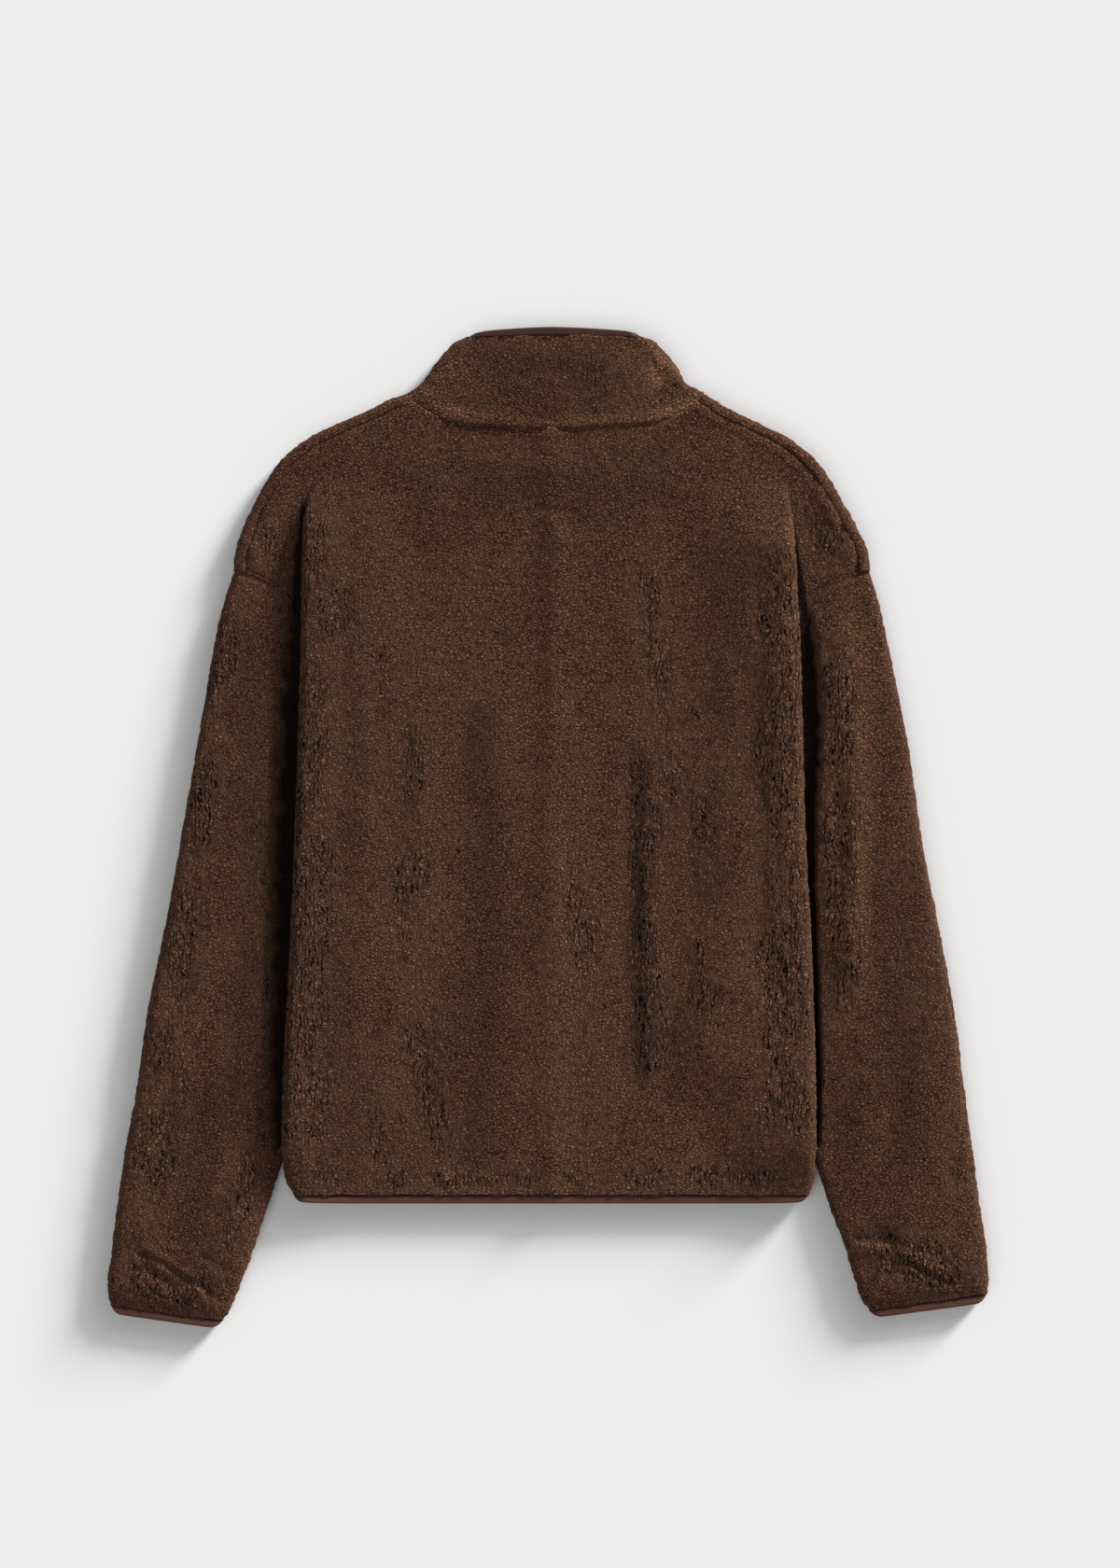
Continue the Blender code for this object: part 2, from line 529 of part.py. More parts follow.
def box_object(name, low, high, finish_material, chamfer=0.0, origin=(0, 0, 0)):
    """A box between two corners, its edges chamfered if asked; the object's own origin is at origin."""
    mesh = bmesh.new()
    low, high, origin = (np.array(corner, float) for corner in (low, high, origin))
    for vert in bmesh.ops.create_cube(mesh, size=1.0)["verts"]:
        vert.co = (low + (np.array(vert.co) + 0.5) * (high - low) - origin) * MM
    if chamfer:
        bmesh.ops.bevel(mesh, geom=list(mesh.edges), offset=chamfer * MM, segments=1, affect="EDGES")
    bmesh.ops.triangulate(mesh, faces=mesh.faces)
    made = finish(name, mesh, finish_material)
    made.location = origin * MM
    return made


def joined(base, others, operation="UNION"):
    """Unites helper solids with a base object, or cuts them out of it; the helpers stay hidden."""
    for other in others:
        change = base.modifiers.new("join", "BOOLEAN")
        change.operation, change.solver, change.object = operation, "EXACT", other
        other.hide_render = True
        other.display_type = "WIRE"
    return base


def make_zip(tape_material, metal):
    x, y = CENTRE, SLIDER_Y
    for side, name in ((LEFT, "left"), (RIGHT, "right")):
        across = sorted((x + OUT[side] * TAPE_NEAR, x + OUT[side] * TAPE_FAR))
        box_object(f"zip_tape_{name}", (across[0], ZIP_FOOT_Y, TAPE_Z), (across[1], ZIP_HEAD_Y, TAPE_Z + TAPE_THICK),
                   tape_material)
    box_object("zip_chain", (x - CHAIN_HALF, ZIP_FOOT_Y, CHAIN_LOW), (x + CHAIN_HALF, y - 0.5, CHAIN_HIGH),
               tape_material, 0.5)
    low, high = CHAIN_LOW - PLATE_CLEAR, CHAIN_HIGH + PLATE_CLEAR
    foot, head, wide = y + SLIDER_FOOT, y + SLIDER_HEAD, SLIDER_HALF
    slider = box_object("zip_slider", (x - wide, foot, low - PLATE), (x + wide, head, low), metal, 0.3)
    parts = [box_object("slider_top", (x - wide, foot, high), (x + wide, head, high + PLATE), metal, 0.3),
             box_object("slider_neck", (x - 1.3, y + 1.5, low - 0.4), (x + 1.3, y + 5, high + 0.4), metal),
             box_object("crown_foot", (x - CROWN_HALF, y - CROWN_FAR, CROWN_LOW), (x + CROWN_HALF, y - CROWN_NEAR, low - 0.4), metal),
             box_object("crown_head", (x - CROWN_HALF, y + CROWN_NEAR, CROWN_LOW), (x + CROWN_HALF, y + CROWN_FAR, low - 0.4), metal),
             box_object("crown_bridge", (x - CROWN_HALF, y - CROWN_FAR, CROWN_LOW),
                        (x + CROWN_HALF, y + CROWN_FAR, CROWN_LOW + 0.6), metal)]
    joined(slider, parts)
    half, axis = PULL_THICK / 2, (x, y, PULL_AXIS_Z)
    pull = box_object("zip_pull", (x - PULL_HALF, y - PULL_LENGTH, PULL_AXIS_Z - half),
                      (x + PULL_HALF, y + half, PULL_AXIS_Z + half), metal, 0.2, axis)
    hole = box_object("pull_hole", (x - PULL_HOLE_HALF, y - PULL_HOLE_LENGTH, PULL_AXIS_Z - 2),
                      (x + PULL_HOLE_HALF, y - half, PULL_AXIS_Z + 2), metal)
    joined(pull, [hole], "DIFFERENCE")


def main():
    for item in list(bpy.data.objects):
        bpy.data.objects.remove(item, do_unlink=True)
    fleece = material("brown_pile_fleece", (0.060, 0.030, 0.018), 0.95)
    dark = material("dark_elastic_binding", (0.062, 0.032, 0.025), 0.75)
    tape = material("dark_zip_tape", (0.045, 0.026, 0.020), 0.8)
    cloth("back", [back_grid(np.linspace(0, 1, BACK_ROW_COUNT + 1), BACK_STEPS)], fleece)
    for side, name in ((LEFT, "left"), (RIGHT, "right")):
        flip = slice(None) if side == LEFT else slice(None, None, -1)
        places = np.r_[np.linspace(0, 1, 10), np.linspace(1, 2, 8)[1:], np.linspace(2, 3, 7)[1:]]
        flat = front_rows(places, side, 10)
        roll = shoulder_roll(np.linspace(0, 1, 7), side, 6)
        roll[:, 0] = flat[-7:, -1]
        cloth(f"front_{name}", [flat[:, flip], roll[:, flip]], fleece)
        rings = sleeve_grid(np.linspace(0, 1, SLEEVE_RING_COUNT + 1), side, SLEEVE_STEPS)
        cloth(f"sleeve_{name}", [rings if side == LEFT else rings[:, ::-1]], fleece, wrap=True)
        band(f"cuff_binding_{name}", cuff_binding(side), dark, closed=True)
    cloth("collar", [collar_grid(np.linspace(0, 1, 7), COLLAR_STEPS)], fleece)
    band("collar_binding", collar_binding(), dark)
    band("hem_binding", hem_binding(), dark)
    make_zip(tape, material("dark_brushed_metal", (0.10, 0.085, 0.08), 0.4, 0.9))


main()
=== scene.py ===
"""A brown pile-fleece jacket laid flat on its front, back uppermost, seen straight from above.

+Y runs from hem to collar and +X to the wearer's right. The tables and the functions of form are in
millimetres; each cloth piece is a wall whose pile face is worked out first, then roughened with curls.
"""
import math

import bmesh
import bpy
import numpy as np
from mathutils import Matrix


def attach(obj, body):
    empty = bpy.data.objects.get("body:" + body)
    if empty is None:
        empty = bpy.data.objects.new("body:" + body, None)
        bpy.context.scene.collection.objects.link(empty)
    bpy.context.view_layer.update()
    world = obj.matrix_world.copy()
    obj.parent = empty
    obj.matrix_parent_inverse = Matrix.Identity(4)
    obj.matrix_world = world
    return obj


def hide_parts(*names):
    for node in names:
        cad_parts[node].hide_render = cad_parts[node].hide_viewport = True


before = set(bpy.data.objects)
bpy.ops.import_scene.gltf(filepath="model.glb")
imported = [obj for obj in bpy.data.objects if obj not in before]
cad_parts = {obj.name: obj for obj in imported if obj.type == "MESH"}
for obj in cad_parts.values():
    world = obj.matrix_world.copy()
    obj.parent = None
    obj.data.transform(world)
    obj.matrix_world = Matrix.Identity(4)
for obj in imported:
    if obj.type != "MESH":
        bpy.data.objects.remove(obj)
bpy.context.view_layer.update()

MM = 0.001
FLEECE = 4.5            # thickness of the pile fleece
SEAM = 0.22             # each piece stops this far short of a seam line
LAYER = 10.6            # height of cloth that lies on a flattened sleeve
LAID = 12.0             # height of the back where it lies on a front
ROLL = 6.5              # radius of the body's and shoulders' rolled edges
CENTRE = 3.0            # x of the centre back and of the zip
HEM_Y = -274.0
NECK_BACK_Y = 299.3
NECK_FRONT_Y = 238.0
COLLAR_FRONT_Y = 306.0
COLLAR_TOP_Y, COLLAR_CREST = 368.2, 16.2   # the top of its back, and the height of its highest point
NECK_BEND = 86.0        # how far from the centre the front neckline turns upwards
SLEEVE_FREE_Y = -258.0  # below this the sleeves lie clear of the body
ZIP_GAP = 6.0           # from the zip's middle to a front's edge
LEFT, RIGHT = 0, 1
SIDE_NAMES = ("left", "right")
OUT = (-1.0, 1.0)       # which way is outwards on each side
SIDE_RAMP = 80.0        # the width over which the back rises onto the sleeves
SIDE_LIFT, EDGE_PUFF = 9.2, 3.0   # how much the back rises there, and beside its own rolled edge
CURL_SIZE, TUFT_SIZE = 4.2, 6.2   # the pile's lumps, across
TROUGH_DEPTH = 4.0      # how far the sleeve is pressed down beside the body's edge
ZIP_FOOT_Y, SLIDER_Y = -279.0, 296.0
CHAIN_HALF, CHAIN_LOW, CHAIN_HIGH = 2.8, 3.9, 6.5
# A tooth from above: how far it reaches from the zip's middle, outwards first, and half its width.
TOOTH = ((2.8, 0.55), (1.1, 0.55), (0.6, 0.40), (-0.2, 0.60), (-0.7, 0.50), (-0.95, 0.25))
TOOTH_PITCH = 2.8
BIND_DEPTH, BIND_THICK = 7.4, 3.0
BIND_CORNER, COLLAR_CORNER = 4.5, 1.5   # how round a binding's ends look from above
COLLAR_LEAN = 0.6       # how much of the collar's taper its binding follows

# How many steps each part of a row or ring takes, and how many rows there are.
BACK_STEPS = {"middle": 8, "crown": 2, "roll": 6, "under": 1, "valley": 3, "cap": 3}
BACK_FINE = {"middle": 94, "crown": 11, "roll": 12, "under": 1, "valley": 3, "cap": 22}
BACK_FINE_ROWS = 312
HEM_FINE = {"middle": 80, "crown": 10, "roll": 16, "under": 1, "valley": 1, "cap": 2}
SLEEVE_FINE = {"top": 84, "outer": 14, "bottom": 14, "inner": 10}
SLEEVE_FINE_RINGS = 340
CUFF_FINE = {"top": 60, "outer": 12, "bottom": 40, "inner": 12}
COLLAR_FINE = {"back": 66, "roll": 14, "front": 24}
COLLAR_FINE_ROWS = 46
FRONT_FINE_ROWS, ROLL_FINE_ROWS, FRONT_FINE_COLUMNS, ROLL_FINE_STEPS = 60, 120, 14, 13

# The last two fleece colours are a painted highlight on the tufts' tips and the painted shade of gaps, partings
# and folds.
FLEECE_OLIVE, FLEECE_RED, FLEECE_TIP_HIGHLIGHT, FLEECE_PAINTED_SHADE = "684836", "6b4433", "916951", "0b0503"
FLEECE_SHEEN, SHEEN = "a87f60", 0.18
# The collar's binding is the same tape in a darker colour, which paints its shade.
BINDING_COLOUR, COLLAR_BINDING_SHADED_COLOUR = "5a3b2f", "412820"
ZINC_DARK, ZINC_WORN = "595250", "8c827c"
FLOOR_COLOUR, FLOOR_DROP, FLOOR_REACH = "f4f4f4", 0.0004, 4.0
WORLD_STRENGTH = 0.235
# Lights: name, strength, softness in degrees, azimuth from +X and elevation.
LIGHTS = (("key", 5.45, 14.0, 47.0, 13.5), ("key_edge", 0.90, 22.0, 47.0, 25.0),
          ("overhead", 0.66, 50.0, 227.0, 55.0))
# The picture: its size and the object's origin in pixels, and mm of the scene for a pixel FACE_HEIGHT up.
PICTURE, ORIGIN, PIXEL, FACE_HEIGHT = (1200, 1680), (587, 887.5), 0.70, 0.010
CAMERA_DISTANCE, SENSOR = 5.0, 36.0

# The body's visible side edge, from hem to shoulder: y, and x on the left and on the right.
BODY_EDGE = (
    (-274, -191.5, 196), (-262, -197, 200), (-251, -198.5, 200.5), (-205, -199, 201),
    (-109, -194.5, 198.5), (-9, -190, 193.5), (75, -187, 191), (131, -185.5, 189.5), (200, -184.5, 186),
    (268, -182, 181),
)
# The rows of the back: place, y at the centre, y at the side edge, y of the seam end on the left and right.
# Up to BACK_TURNED a row turns under the side edge and ends below it; past BACK_SHOWS its seam shows.
BACK_ROWS = (
    (0.000, -274, -274, -274, -274), (0.035, -251, -251, -251, -251), (0.105, -205, -205, -205, -205),
    (0.250, -109, -109, -109, -109), (0.400, -11, -9, -9, -9), (0.530, 72, 75, 75, 75),
    (0.620, 122, 131, 131, 131), (0.665, 141, 160, 163, 163), (0.700, 157, 180, 184, 184),
    (0.735, 172, 200, 194, 196), (0.775, 190, 220, 222, 222), (0.815, 208, 240, 249, 249),
    (0.855, 228, 258, 270.5, 270.5), (0.900, 252, 272, 288.5, 288.5), (0.950, 277, 290, 303, 304),
    (1.000, 299.3, 311, 319, 319),
)
# The places where the back's side fold changes.
BACK_TURNED, BACK_SHOWS, FOLD_FULL, FOLD_GONE = 0.640, 0.672, 0.775, 0.89
# A sleeve's sections from armhole to cuff: outer edge y, x left, x right; inner edge y, x left, x right;
# height at the inner edge and at the outer edge.
SLEEVE_ROWS = (
    (193.0, -236, 242, -10, -181, 184.5, 10.0, 13.0), (159.0, -246, 251, -38, -180, 183, 10.0, 13.5),
    (117.0, -254, 260, -60, -178, 181, 10.0, 14.0), (54.0, -265, 272, -84, -173, 176, 10.0, 15.0),
    (-9.0, -276, 281, -110, -166, 168.5, 10.0, 15.5), (-72.0, -287, 293, -138, -163, 165.5, 10.0, 15.5),
    (-135.0, -300, 304.5, -172, -170, 172.5, 10.0, 15.5),
    (-198.0, -309, 313, -213, -185, 187.5, 10.0, 15.0),
    (-240.0, -317, 318.5, -249, -198.5, 200, 10.4, 15.0),
    (-282.0, -323, 324, -284, -210.5, 211.5, 12.0, 15.0),
    (-318.0, -327.5, 329, -322, -223, 224.5, 12.5, 14.5),
    (-343.0, -330.5, 330.5, -358, -237, 234.5, 12.0, 13.5),
    (-356.5, -328.5, 329.5, -368.5, -243.5, 240.5, 10.6, 11.0),
)
RAISED_CUFF = 8.0       # how much nearer to the collar the right cuff lies
# The armhole seam seen from above, from the underarm to the shoulder: x left, x right, y.
ARMHOLE = (
    (-181, 184.5, -10), (-180.5, 184.2, 60), (-180.5, 184.2, 120), (-183, 186.5, 150), (-188.5, 192, 163),
    (-195, 199, 173), (-207, 212, 183), (-221, 227, 189.5), (-236, 242, 193),
)
# The shoulder's outline, from the armhole to the neck: x left, x right, y.
SHOULDER = (
    (-236, 242, 193), (-234.5, 240, 208), (-229, 232.5, 225), (-221, 223, 242), (-212, 213.5, 259),
    (-201, 202, 275.5), (-178, 179, 294), (-155, 157, 305), (-130, 134, 316), (-119, 124.5, 321.8),
    (-103.5, 116.5, 326.4),
)
# The collar's side edge, from the neck seam to the top of the fleece: share of its height, x left, x right, y.
COLLAR_SIDE = (
    (0, -103, 116, 327), (0.16, -96, 104.5, 333), (0.30, -91, 100.5, 339), (0.46, -86.5, 97, 346),
    (0.64, -79.5, 90, 355), (0.80, -73.5, 84, 361), (0.92, -69, 79.5, 365.5), (1, -61, 72, 368.4),
)
# Soft folds of the back: x and y of each end, width, height (negative for a trough).
FOLDS = (
    (-47, 30, -47, -170, 15, -1.7), (-48, -165, -68, -262, 15, -1.4), (66.5, 50, 66.5, -195, 13, -2.3),
    (-92, 130, -104, -160, 20, 1.7), (9, 225, 9, -40, 13, 0.9), (9, -30, 8, -262, 23, 1.8),
    (-118, 20, -130, -170, 13, -1.4), (118, 60, 124, -190, 19, 1.2), (95, -70, 92, -215, 12, -1.3),
    (14, 238, 20, 222, 9, -1.1), (-120, 265, -85, 150, 16, -0.9), (120, 262, 100, 150, 17, -0.9),
    (-150, 110, -158, -60, 12, -1.2), (152, 120, 158, -120, 12, -1.3), (-20, 100, -24, -120, 12, -0.7),
)
# Soft folds of the sleeves: side, then as above.
SLEEVE_FOLDS = (
    (RIGHT, 238, 120, 226, -110, 9, 1.9), (RIGHT, 214, 90, 219, -30, 7, -1.5),
    (RIGHT, 272, -150, 255, -245, 13, -1.9), (RIGHT, 240, -300, 262, -312, 8, -1.9),
    (RIGHT, 280, -325, 296, -334, 6, 1.4), (RIGHT, 228, -317, 254, -316, 5, 1.3),
    (RIGHT, 300, -60, 306, -230, 10, 1.0), (LEFT, -300, -316, -262, -346, 6, 1.6),
    (LEFT, -285, -336, -268, -340, 8, -1.7), (LEFT, -240, 60, -262, -120, 14, 1.0),
    (LEFT, -222, 20, -236, -200, 10, -1.0), (LEFT, -290, -180, -296, -300, 11, -1.2),
    (LEFT, -240, -230, -262, -300, 11, 1.1),
)
# Narrow creases: x and y of each end, width, height.
CREASES = (
    (-308, -318, -290, -325, 2.0, -1.5), (-290, -325, -278, -333, 2.0, -1.7),
    (-278, -333, -266, -343, 2.2, -1.6), (-286, -327, -274, -338, 2.6, -1.2),
    (-262, -340, -252, -352, 3.0, -1.8), (-300, -332, -284, -341, 2.4, -1.0),
    (-262, -318, -244, -330, 3.0, -1.0), (-292, -313, -276, -316, 2.6, 0.9),
    (265, -326, 279, -330, 2.0, -1.6), (279, -330, 289, -336, 2.0, -1.7),
    (289, -336, 302, -342, 2.0, -1.3), (262, -316, 276, -322, 3.0, 1.2),
    (246, -330, 236, -345, 2.4, -1.0), (256, -333, 248, -349, 2.2, -0.8),
    (226, -322, 238, -340, 2.2, 0.7), (-10, 239, 22, 237, 2.5, -0.8), (3, 232, 4, 220, 2.2, 0.5),
    (74, 45, 75, -190, 8, 1.5), (217, 120, 212, -90, 11, 1.2), (247, 160, 240, -100, 9, -0.8),
    (58, 45, 57, -190, 7, -0.5), (176, 238, 181, 186, 5, 0.9), (-48, 20, -50, -165, 6, -0.4),
    (-52, -165, -70, -258, 6, -0.4), (80, 356, 84, 343, 2.4, 1.2), (-84, 340, -96, 318, 3.0, 0.7),
    (228, -308, 262, -310, 3.4, -1.3),
)
# Zones where the pile parts into coarse tufts: x and y of each end, width, strength.
COARSE = (
    (-170, 240, -182, -240, 26, 0.85), (174, 215, 182, -240, 25, 0.85), (-117, 220, -118, -10, 14, 0.45),
    (79, 200, 82, -60, 17, 0.6), (74, 60, 76, -190, 17, 0.8), (-100, 140, -104, -60, 18, 0.55),
    (-140, -150, -126, -262, 22, 0.65), (-95, -60, -92, -255, 20, 0.6), (26, -10, 20, -250, 20, 0.45),
    (112, 100, 122, -150, 20, 0.5), (-180, -262, 185, -262, 12, 0.6), (-60, 285, 110, 280, 14, 0.4),
    (-238, 180, -312, -330, 22, 0.65), (-215, 60, -222, -200, 18, 0.4), (216, 135, 222, -150, 17, 0.85),
    (-322, -330, -250, -350, 20, 0.85), (232, -310, 325, -335, 22, 0.85), (296, 0, 320, -280, 18, 0.55),
    (-212, 235, -200, 190, 18, 0.6), (210, 235, 204, 185, 18, 0.6), (-60, 340, 70, 340, 18, 0.3),
    (-222, -230, -236, -330, 18, 0.6), (262, -20, 285, -200, 20, 0.35), (-60, 200, -50, -20, 16, 0.3),
)
# Painted light and shade: streaks lighter or darker where the nap lies towards the light or away from it, where
# slopes face the light or turn from it, and painted highlights along the collar and its seam: x and y of each
# end, width, share lighter.
NAP_AND_PAINTED_LIGHT = (
    (-150, 262, -146, -250, 34, -0.24), (-52, 95, -54, -250, 15, -0.30),
    (-78, -100, -76, -250, 14, -0.16), (-6, 110, -6, -262, 14, 0.20), (64, 60, 66, -190, 13, -0.30),
    (82, -150, 92, -220, 12, -0.16), (112, -60, 128, -255, 20, 0.36), (172, 240, 174, -262, 18, 0.28),
    (-110, 258, 100, 258, 26, -0.20), (228, 160, 224, -190, 12, 0.42), (214, 90, 213, -90, 9, 0.30),
    (266, -20, 264, -270, 17, -0.24), (-222, 150, -232, -240, 18, -0.32),
    (-254, -190, -262, -345, 22, -0.28), (-50, 352, 48, 351, 13, -0.34), (-40, 330, 45, 330, 24, -0.20),
    (-330, -333, -255, -350, 8, 0.1), (80, 352, 81, 333, 5, 1.6), (-73, 352, -70, 336, 5, 0.5),
    (72, 365, 98, 340, 3, 0.6), (-94, 332, -76, 312, 4, 0.4), (-76, 311, -33, 301, 4, 0.4),
    (-33, 300, 5, 298, 4, 0.4), (5, 298, 74, 301, 4, 0.4), (74, 302, 118, 322, 4, 0.6),
    (-76, 316, -33, 306, 4, 0.5), (-33, 305, 5, 304, 4, 0.5), (5, 304, 74, 306, 4, 0.5),
    (74, 307, 112, 324, 4, 0.5), (-212, 60, -206, -170, 7, -0.1),
)
# The gap beside the body's edge, painted in deep shade and pressed into a trough on the sleeve: y, and how far
# it reaches over the sleeve on the left and right.
SHADED_GAP_ROWS = (
    (-256, 0, 0), (-246, 5, 2), (-215, 11, 4), (-110, 21, 5), (-10, 25, 9), (60, 24, 15), (95, 23, 16),
    (140, 19, 13), (172, 16, 9), (205, 11, 5), (232, 5, 2), (252, 1.5, 0), (262, 0, 0),
)


def smooth(start, end, x):
    """0 before start and 1 past end, eased between them; start may be the larger."""
    t = np.clip((np.asarray(x, float) - start) / (end - start), 0, 1)
    return t * t * (3 - 2 * t)


def read(table, at, key=0):
    """A table's rows at any place, on a smooth curve through them; column key holds the places, rising."""
    rows = np.array(table, float)
    place, values = rows[:, key], np.delete(rows, key, axis=1)
    slope = np.gradient(values, place, axis=0)
    at = np.clip(np.asarray(at, float), place[0], place[-1])
    k = np.clip(np.searchsorted(place, at, side="right") - 1, 0, len(place) - 2)
    wide = (place[k + 1] - place[k])[..., None]
    t = ((at - place[k]))[..., None] / wide
    a, b, sa, sb = values[k], values[k + 1], slope[k] * wide, slope[k + 1] * wide
    return a + sa * t + (3 * (b - a) - 2 * sa - sb) * t**2 + (sa + sb - 2 * (b - a)) * t**3


def by_share(points):
    """The points with their share of the length so far put first, as a table for read."""
    points = np.array(points, float)
    far = np.r_[0, np.cumsum(np.linalg.norm(np.diff(points, axis=0), axis=1))]
    return np.c_[far / far[-1], points]


def body_edge(y, side):
    return read(BODY_EDGE, y)[..., side]


def outside(x, y, side):
    """How far each point lies outside the body's side edge."""
    return (x - body_edge(y, side)) * OUT[side]


def clear_of_body(x, y, side):
    """The same for a sleeve, which soon counts as far outside where it has come out from under the body."""
    return outside(x, y, side) + 3 * np.maximum(0, SLEEVE_FREE_Y - y)


def one_side(line, side):
    """x and y on one side, from a line of x left, x right, y."""
    return np.array(line, float)[:, [side, 2]]


def ridge(fold, x, y):
    """The height that one soft fold adds at each point: eased across its width and towards its ends."""
    x0, y0, x1, y1, width, height = fold
    run = np.array([x1 - x0, y1 - y0], float)
    length = np.hypot(*run)
    run /= length
    across = np.abs((x - x0) * run[1] - (y - y0) * run[0])
    along = (x - x0) * run[0] + (y - y0) * run[1]
    ends = smooth(-1.2 * width, 1.2 * width, along) * smooth(length + 1.2 * width, length - 1.2 * width, along)
    return height * np.exp(-((across / width) ** 2)) * ends


def sleeve_inner(side):
    rows = np.array(SLEEVE_ROWS, float)
    return np.c_[rows[:, 4 + side], rows[:, 3]]


def over_sleeve(x, y, side):
    """How far each point lies inside a sleeve's hidden inner edge: negative where it is off the sleeve."""
    line = by_share(sleeve_inner(side))
    line = read(line, np.linspace(0, 1, 140))
    away = np.hypot(x[..., None] - line[:, 0], y[..., None] - line[:, 1]).min(axis=-1)
    edge_x = np.interp(y, line[::-1, 1], line[::-1, 0])
    inside = ((x - edge_x) * OUT[side] > 0) & (y < line[0, 1])
    return np.where(inside, away, -away)


def hem_ease(y):
    return 0.42 + 0.58 * smooth(-281, -236, y)


def front_height(x, y, side):
    """The lower face of a front: on the floor, and up over the sleeve that lies below it."""
    x, y = np.broadcast_arrays(np.asarray(x, float), np.asarray(y, float))
    ramp = 15 + 15 * smooth(-25, -85, y)
    rise = smooth(0, 1, (over_sleeve(x, y, side) + ramp + 8) / (ramp + 2))
    return LAYER * rise * hem_ease(y) * smooth(14, -8, y)


def side_low(y, side):
    """The height of the body's side seam, which lies on the sleeve down to where the sleeve comes out."""
    x = body_edge(y, side) - OUT[side] * (ROLL + 3)
    beside = front_height(x, y, side)
    return beside + (LAYER - beside) * smooth(-215, -185, y)


def back_height(x, y):
    """The upper face of the back: higher at the shoulders, over the centre line and on the sleeves."""
    x, y = np.broadcast_arrays(np.asarray(x, float), np.asarray(y, float))
    z = LAID + 1.0 * smooth(165, 265, y) + 1.5 * np.exp(-(((x - CENTRE) / 11) ** 2))
    quiet = 1.0
    for side in (LEFT, RIGHT):
        inward = (body_edge(y, side) - x) * OUT[side]
        above = smooth(268, 205, y)
        on_sleeve = smooth(-2 - SIDE_RAMP, -2, over_sleeve(x, y, side)) * smooth(60, -20, y)
        by_edge = smooth(12 + SIDE_RAMP, 12, inward) * smooth(-262, -200, y)
        lift = SIDE_LIFT * (1 - (1 - on_sleeve) * (1 - by_edge)) * hem_ease(y)
        z = z + above * (lift + EDGE_PUFF * smooth(36, 8, inward) * smooth(-282, -225, y))
        quiet = quiet * smooth(6, 34, inward)
    for fold in FOLDS:
        z = z + ridge(fold, x, y) * quiet
    return z


def cap_height(x, y, side):
    """The upper face of the shoulder's cap, outside the body's side edge."""
    return LAYER - 0.6 + 3.0 * smooth(-2, 36, outside(x, y, side))


def inset(line, side, by):
    """A line of x left, x right, y moved inwards by a distance, as x and y for one side."""
    line = one_side(line, side)
    run = np.gradient(line, axis=0)
    run /= np.linalg.norm(run, axis=1, keepdims=True)
    return line + by * np.c_[run[:, 1], -run[:, 0]] * -OUT[side]


def seam_end_x(y, side):
    """Where the back's row ends on the armhole or shoulder seam that shows."""
    shoulder = inset(SHOULDER, side, ROLL + 1 + 9 * SEAM)
    armhole = one_side(ARMHOLE, side)[3:-1]
    line = np.concatenate([armhole - [OUT[side] * 5 * SEAM, -6 * SEAM], shoulder])
    return float(np.interp(y, line[:, 1], line[:, 0]))


def share(steps, name):
    return np.arange(1, steps[name] + 1) / steps[name]


def back_row(place, side, steps):
    """One row of the back's outer face, from the centre to its seam."""
    row = read(BACK_ROWS, place)
    mid_y, edge_y, end_y = row[0], row[1], row[2 + side]
    out = OUT[side]
    end_x = seam_end_x(end_y, side)
    edge_x = float(body_edge(edge_y, side))
    shows = float(smooth(BACK_TURNED, BACK_SHOWS, place))
    plain_share = float(smooth(FOLD_FULL, FOLD_GONE, place))
    low = float(side_low(np.array(edge_y), side)) + 1.1 * float(smooth(0.60, 0.67, place))
    high = float(back_height(edge_x - out * ROLL, edge_y))
    radius = (high - low) / 2
    crown_x = edge_x - out * radius
    start_x = (edge_x - out * (radius + 20)) * (1 - plain_share) + (end_x - out * 48) * plain_share
    start_y = mid_y + (edge_y - mid_y) * float(smooth(CENTRE, edge_x, start_x))

    def level(x, y):
        return np.c_[x, y, back_height(x, y)]

    t = np.arange(0, steps["middle"] + 1) / steps["middle"]
    middle = level(CENTRE + (start_x - CENTRE) * t, mid_y + (start_y - mid_y) * smooth(0, 1, t))
    # The folded shape: over the crown, round the rolled edge and back under it to the seam.
    t = share(steps, "crown")
    crown = level(start_x + (crown_x - start_x) * t, start_y + (edge_y - start_y) * t)
    angle = math.pi * share(steps, "roll")
    roll = np.c_[crown_x + out * radius * np.sin(angle), np.full(len(angle), edge_y),
                 low + radius + radius * np.cos(angle)]
    rest = steps["under"] + steps["valley"] + steps["cap"]
    t = np.arange(1, rest + 1) / rest
    turned_x = crown_x + (edge_x - out * (ROLL + 3) - crown_x) * t
    turned = np.c_[turned_x, edge_y + (end_y - edge_y) * t, np.full(rest, low)]
    # Where the cap shows, it comes out again from under the edge.
    valley_x, tight = crown_x - out * 1.0, 0.9
    t = share(steps, "under")
    under = np.c_[crown_x + (valley_x - crown_x) * t, np.full(len(t), edge_y), np.full(len(t), low)]
    angle = math.pi * share(steps, "valley")
    valley = np.c_[valley_x - out * tight * np.sin(angle), np.full(len(angle), edge_y),
                   low - tight + tight * np.cos(angle)]
    t = share(steps, "cap")
    x, y = valley_x + (end_x - valley_x) * t, edge_y + (end_y - edge_y) * t
    floor = low - 2 * tight
    cap = np.c_[x, y, floor + (cap_height(x, y, side) - floor) * smooth(0, 1, t)]
    shown = np.concatenate([under, valley, cap])
    outer = np.concatenate([crown, roll, turned * (1 - shows) + shown * shows])
    # The plain shape, above the top of the fold.
    t = np.arange(1, len(outer) + 1) / len(outer)
    bent = 1 + 1.2 * float(smooth(0.9, 1, place))
    plain = level(start_x + (end_x - start_x) * t, start_y + (end_y - start_y) * t**bent)
    return np.concatenate([middle, outer * (1 - plain_share) + plain * plain_share])


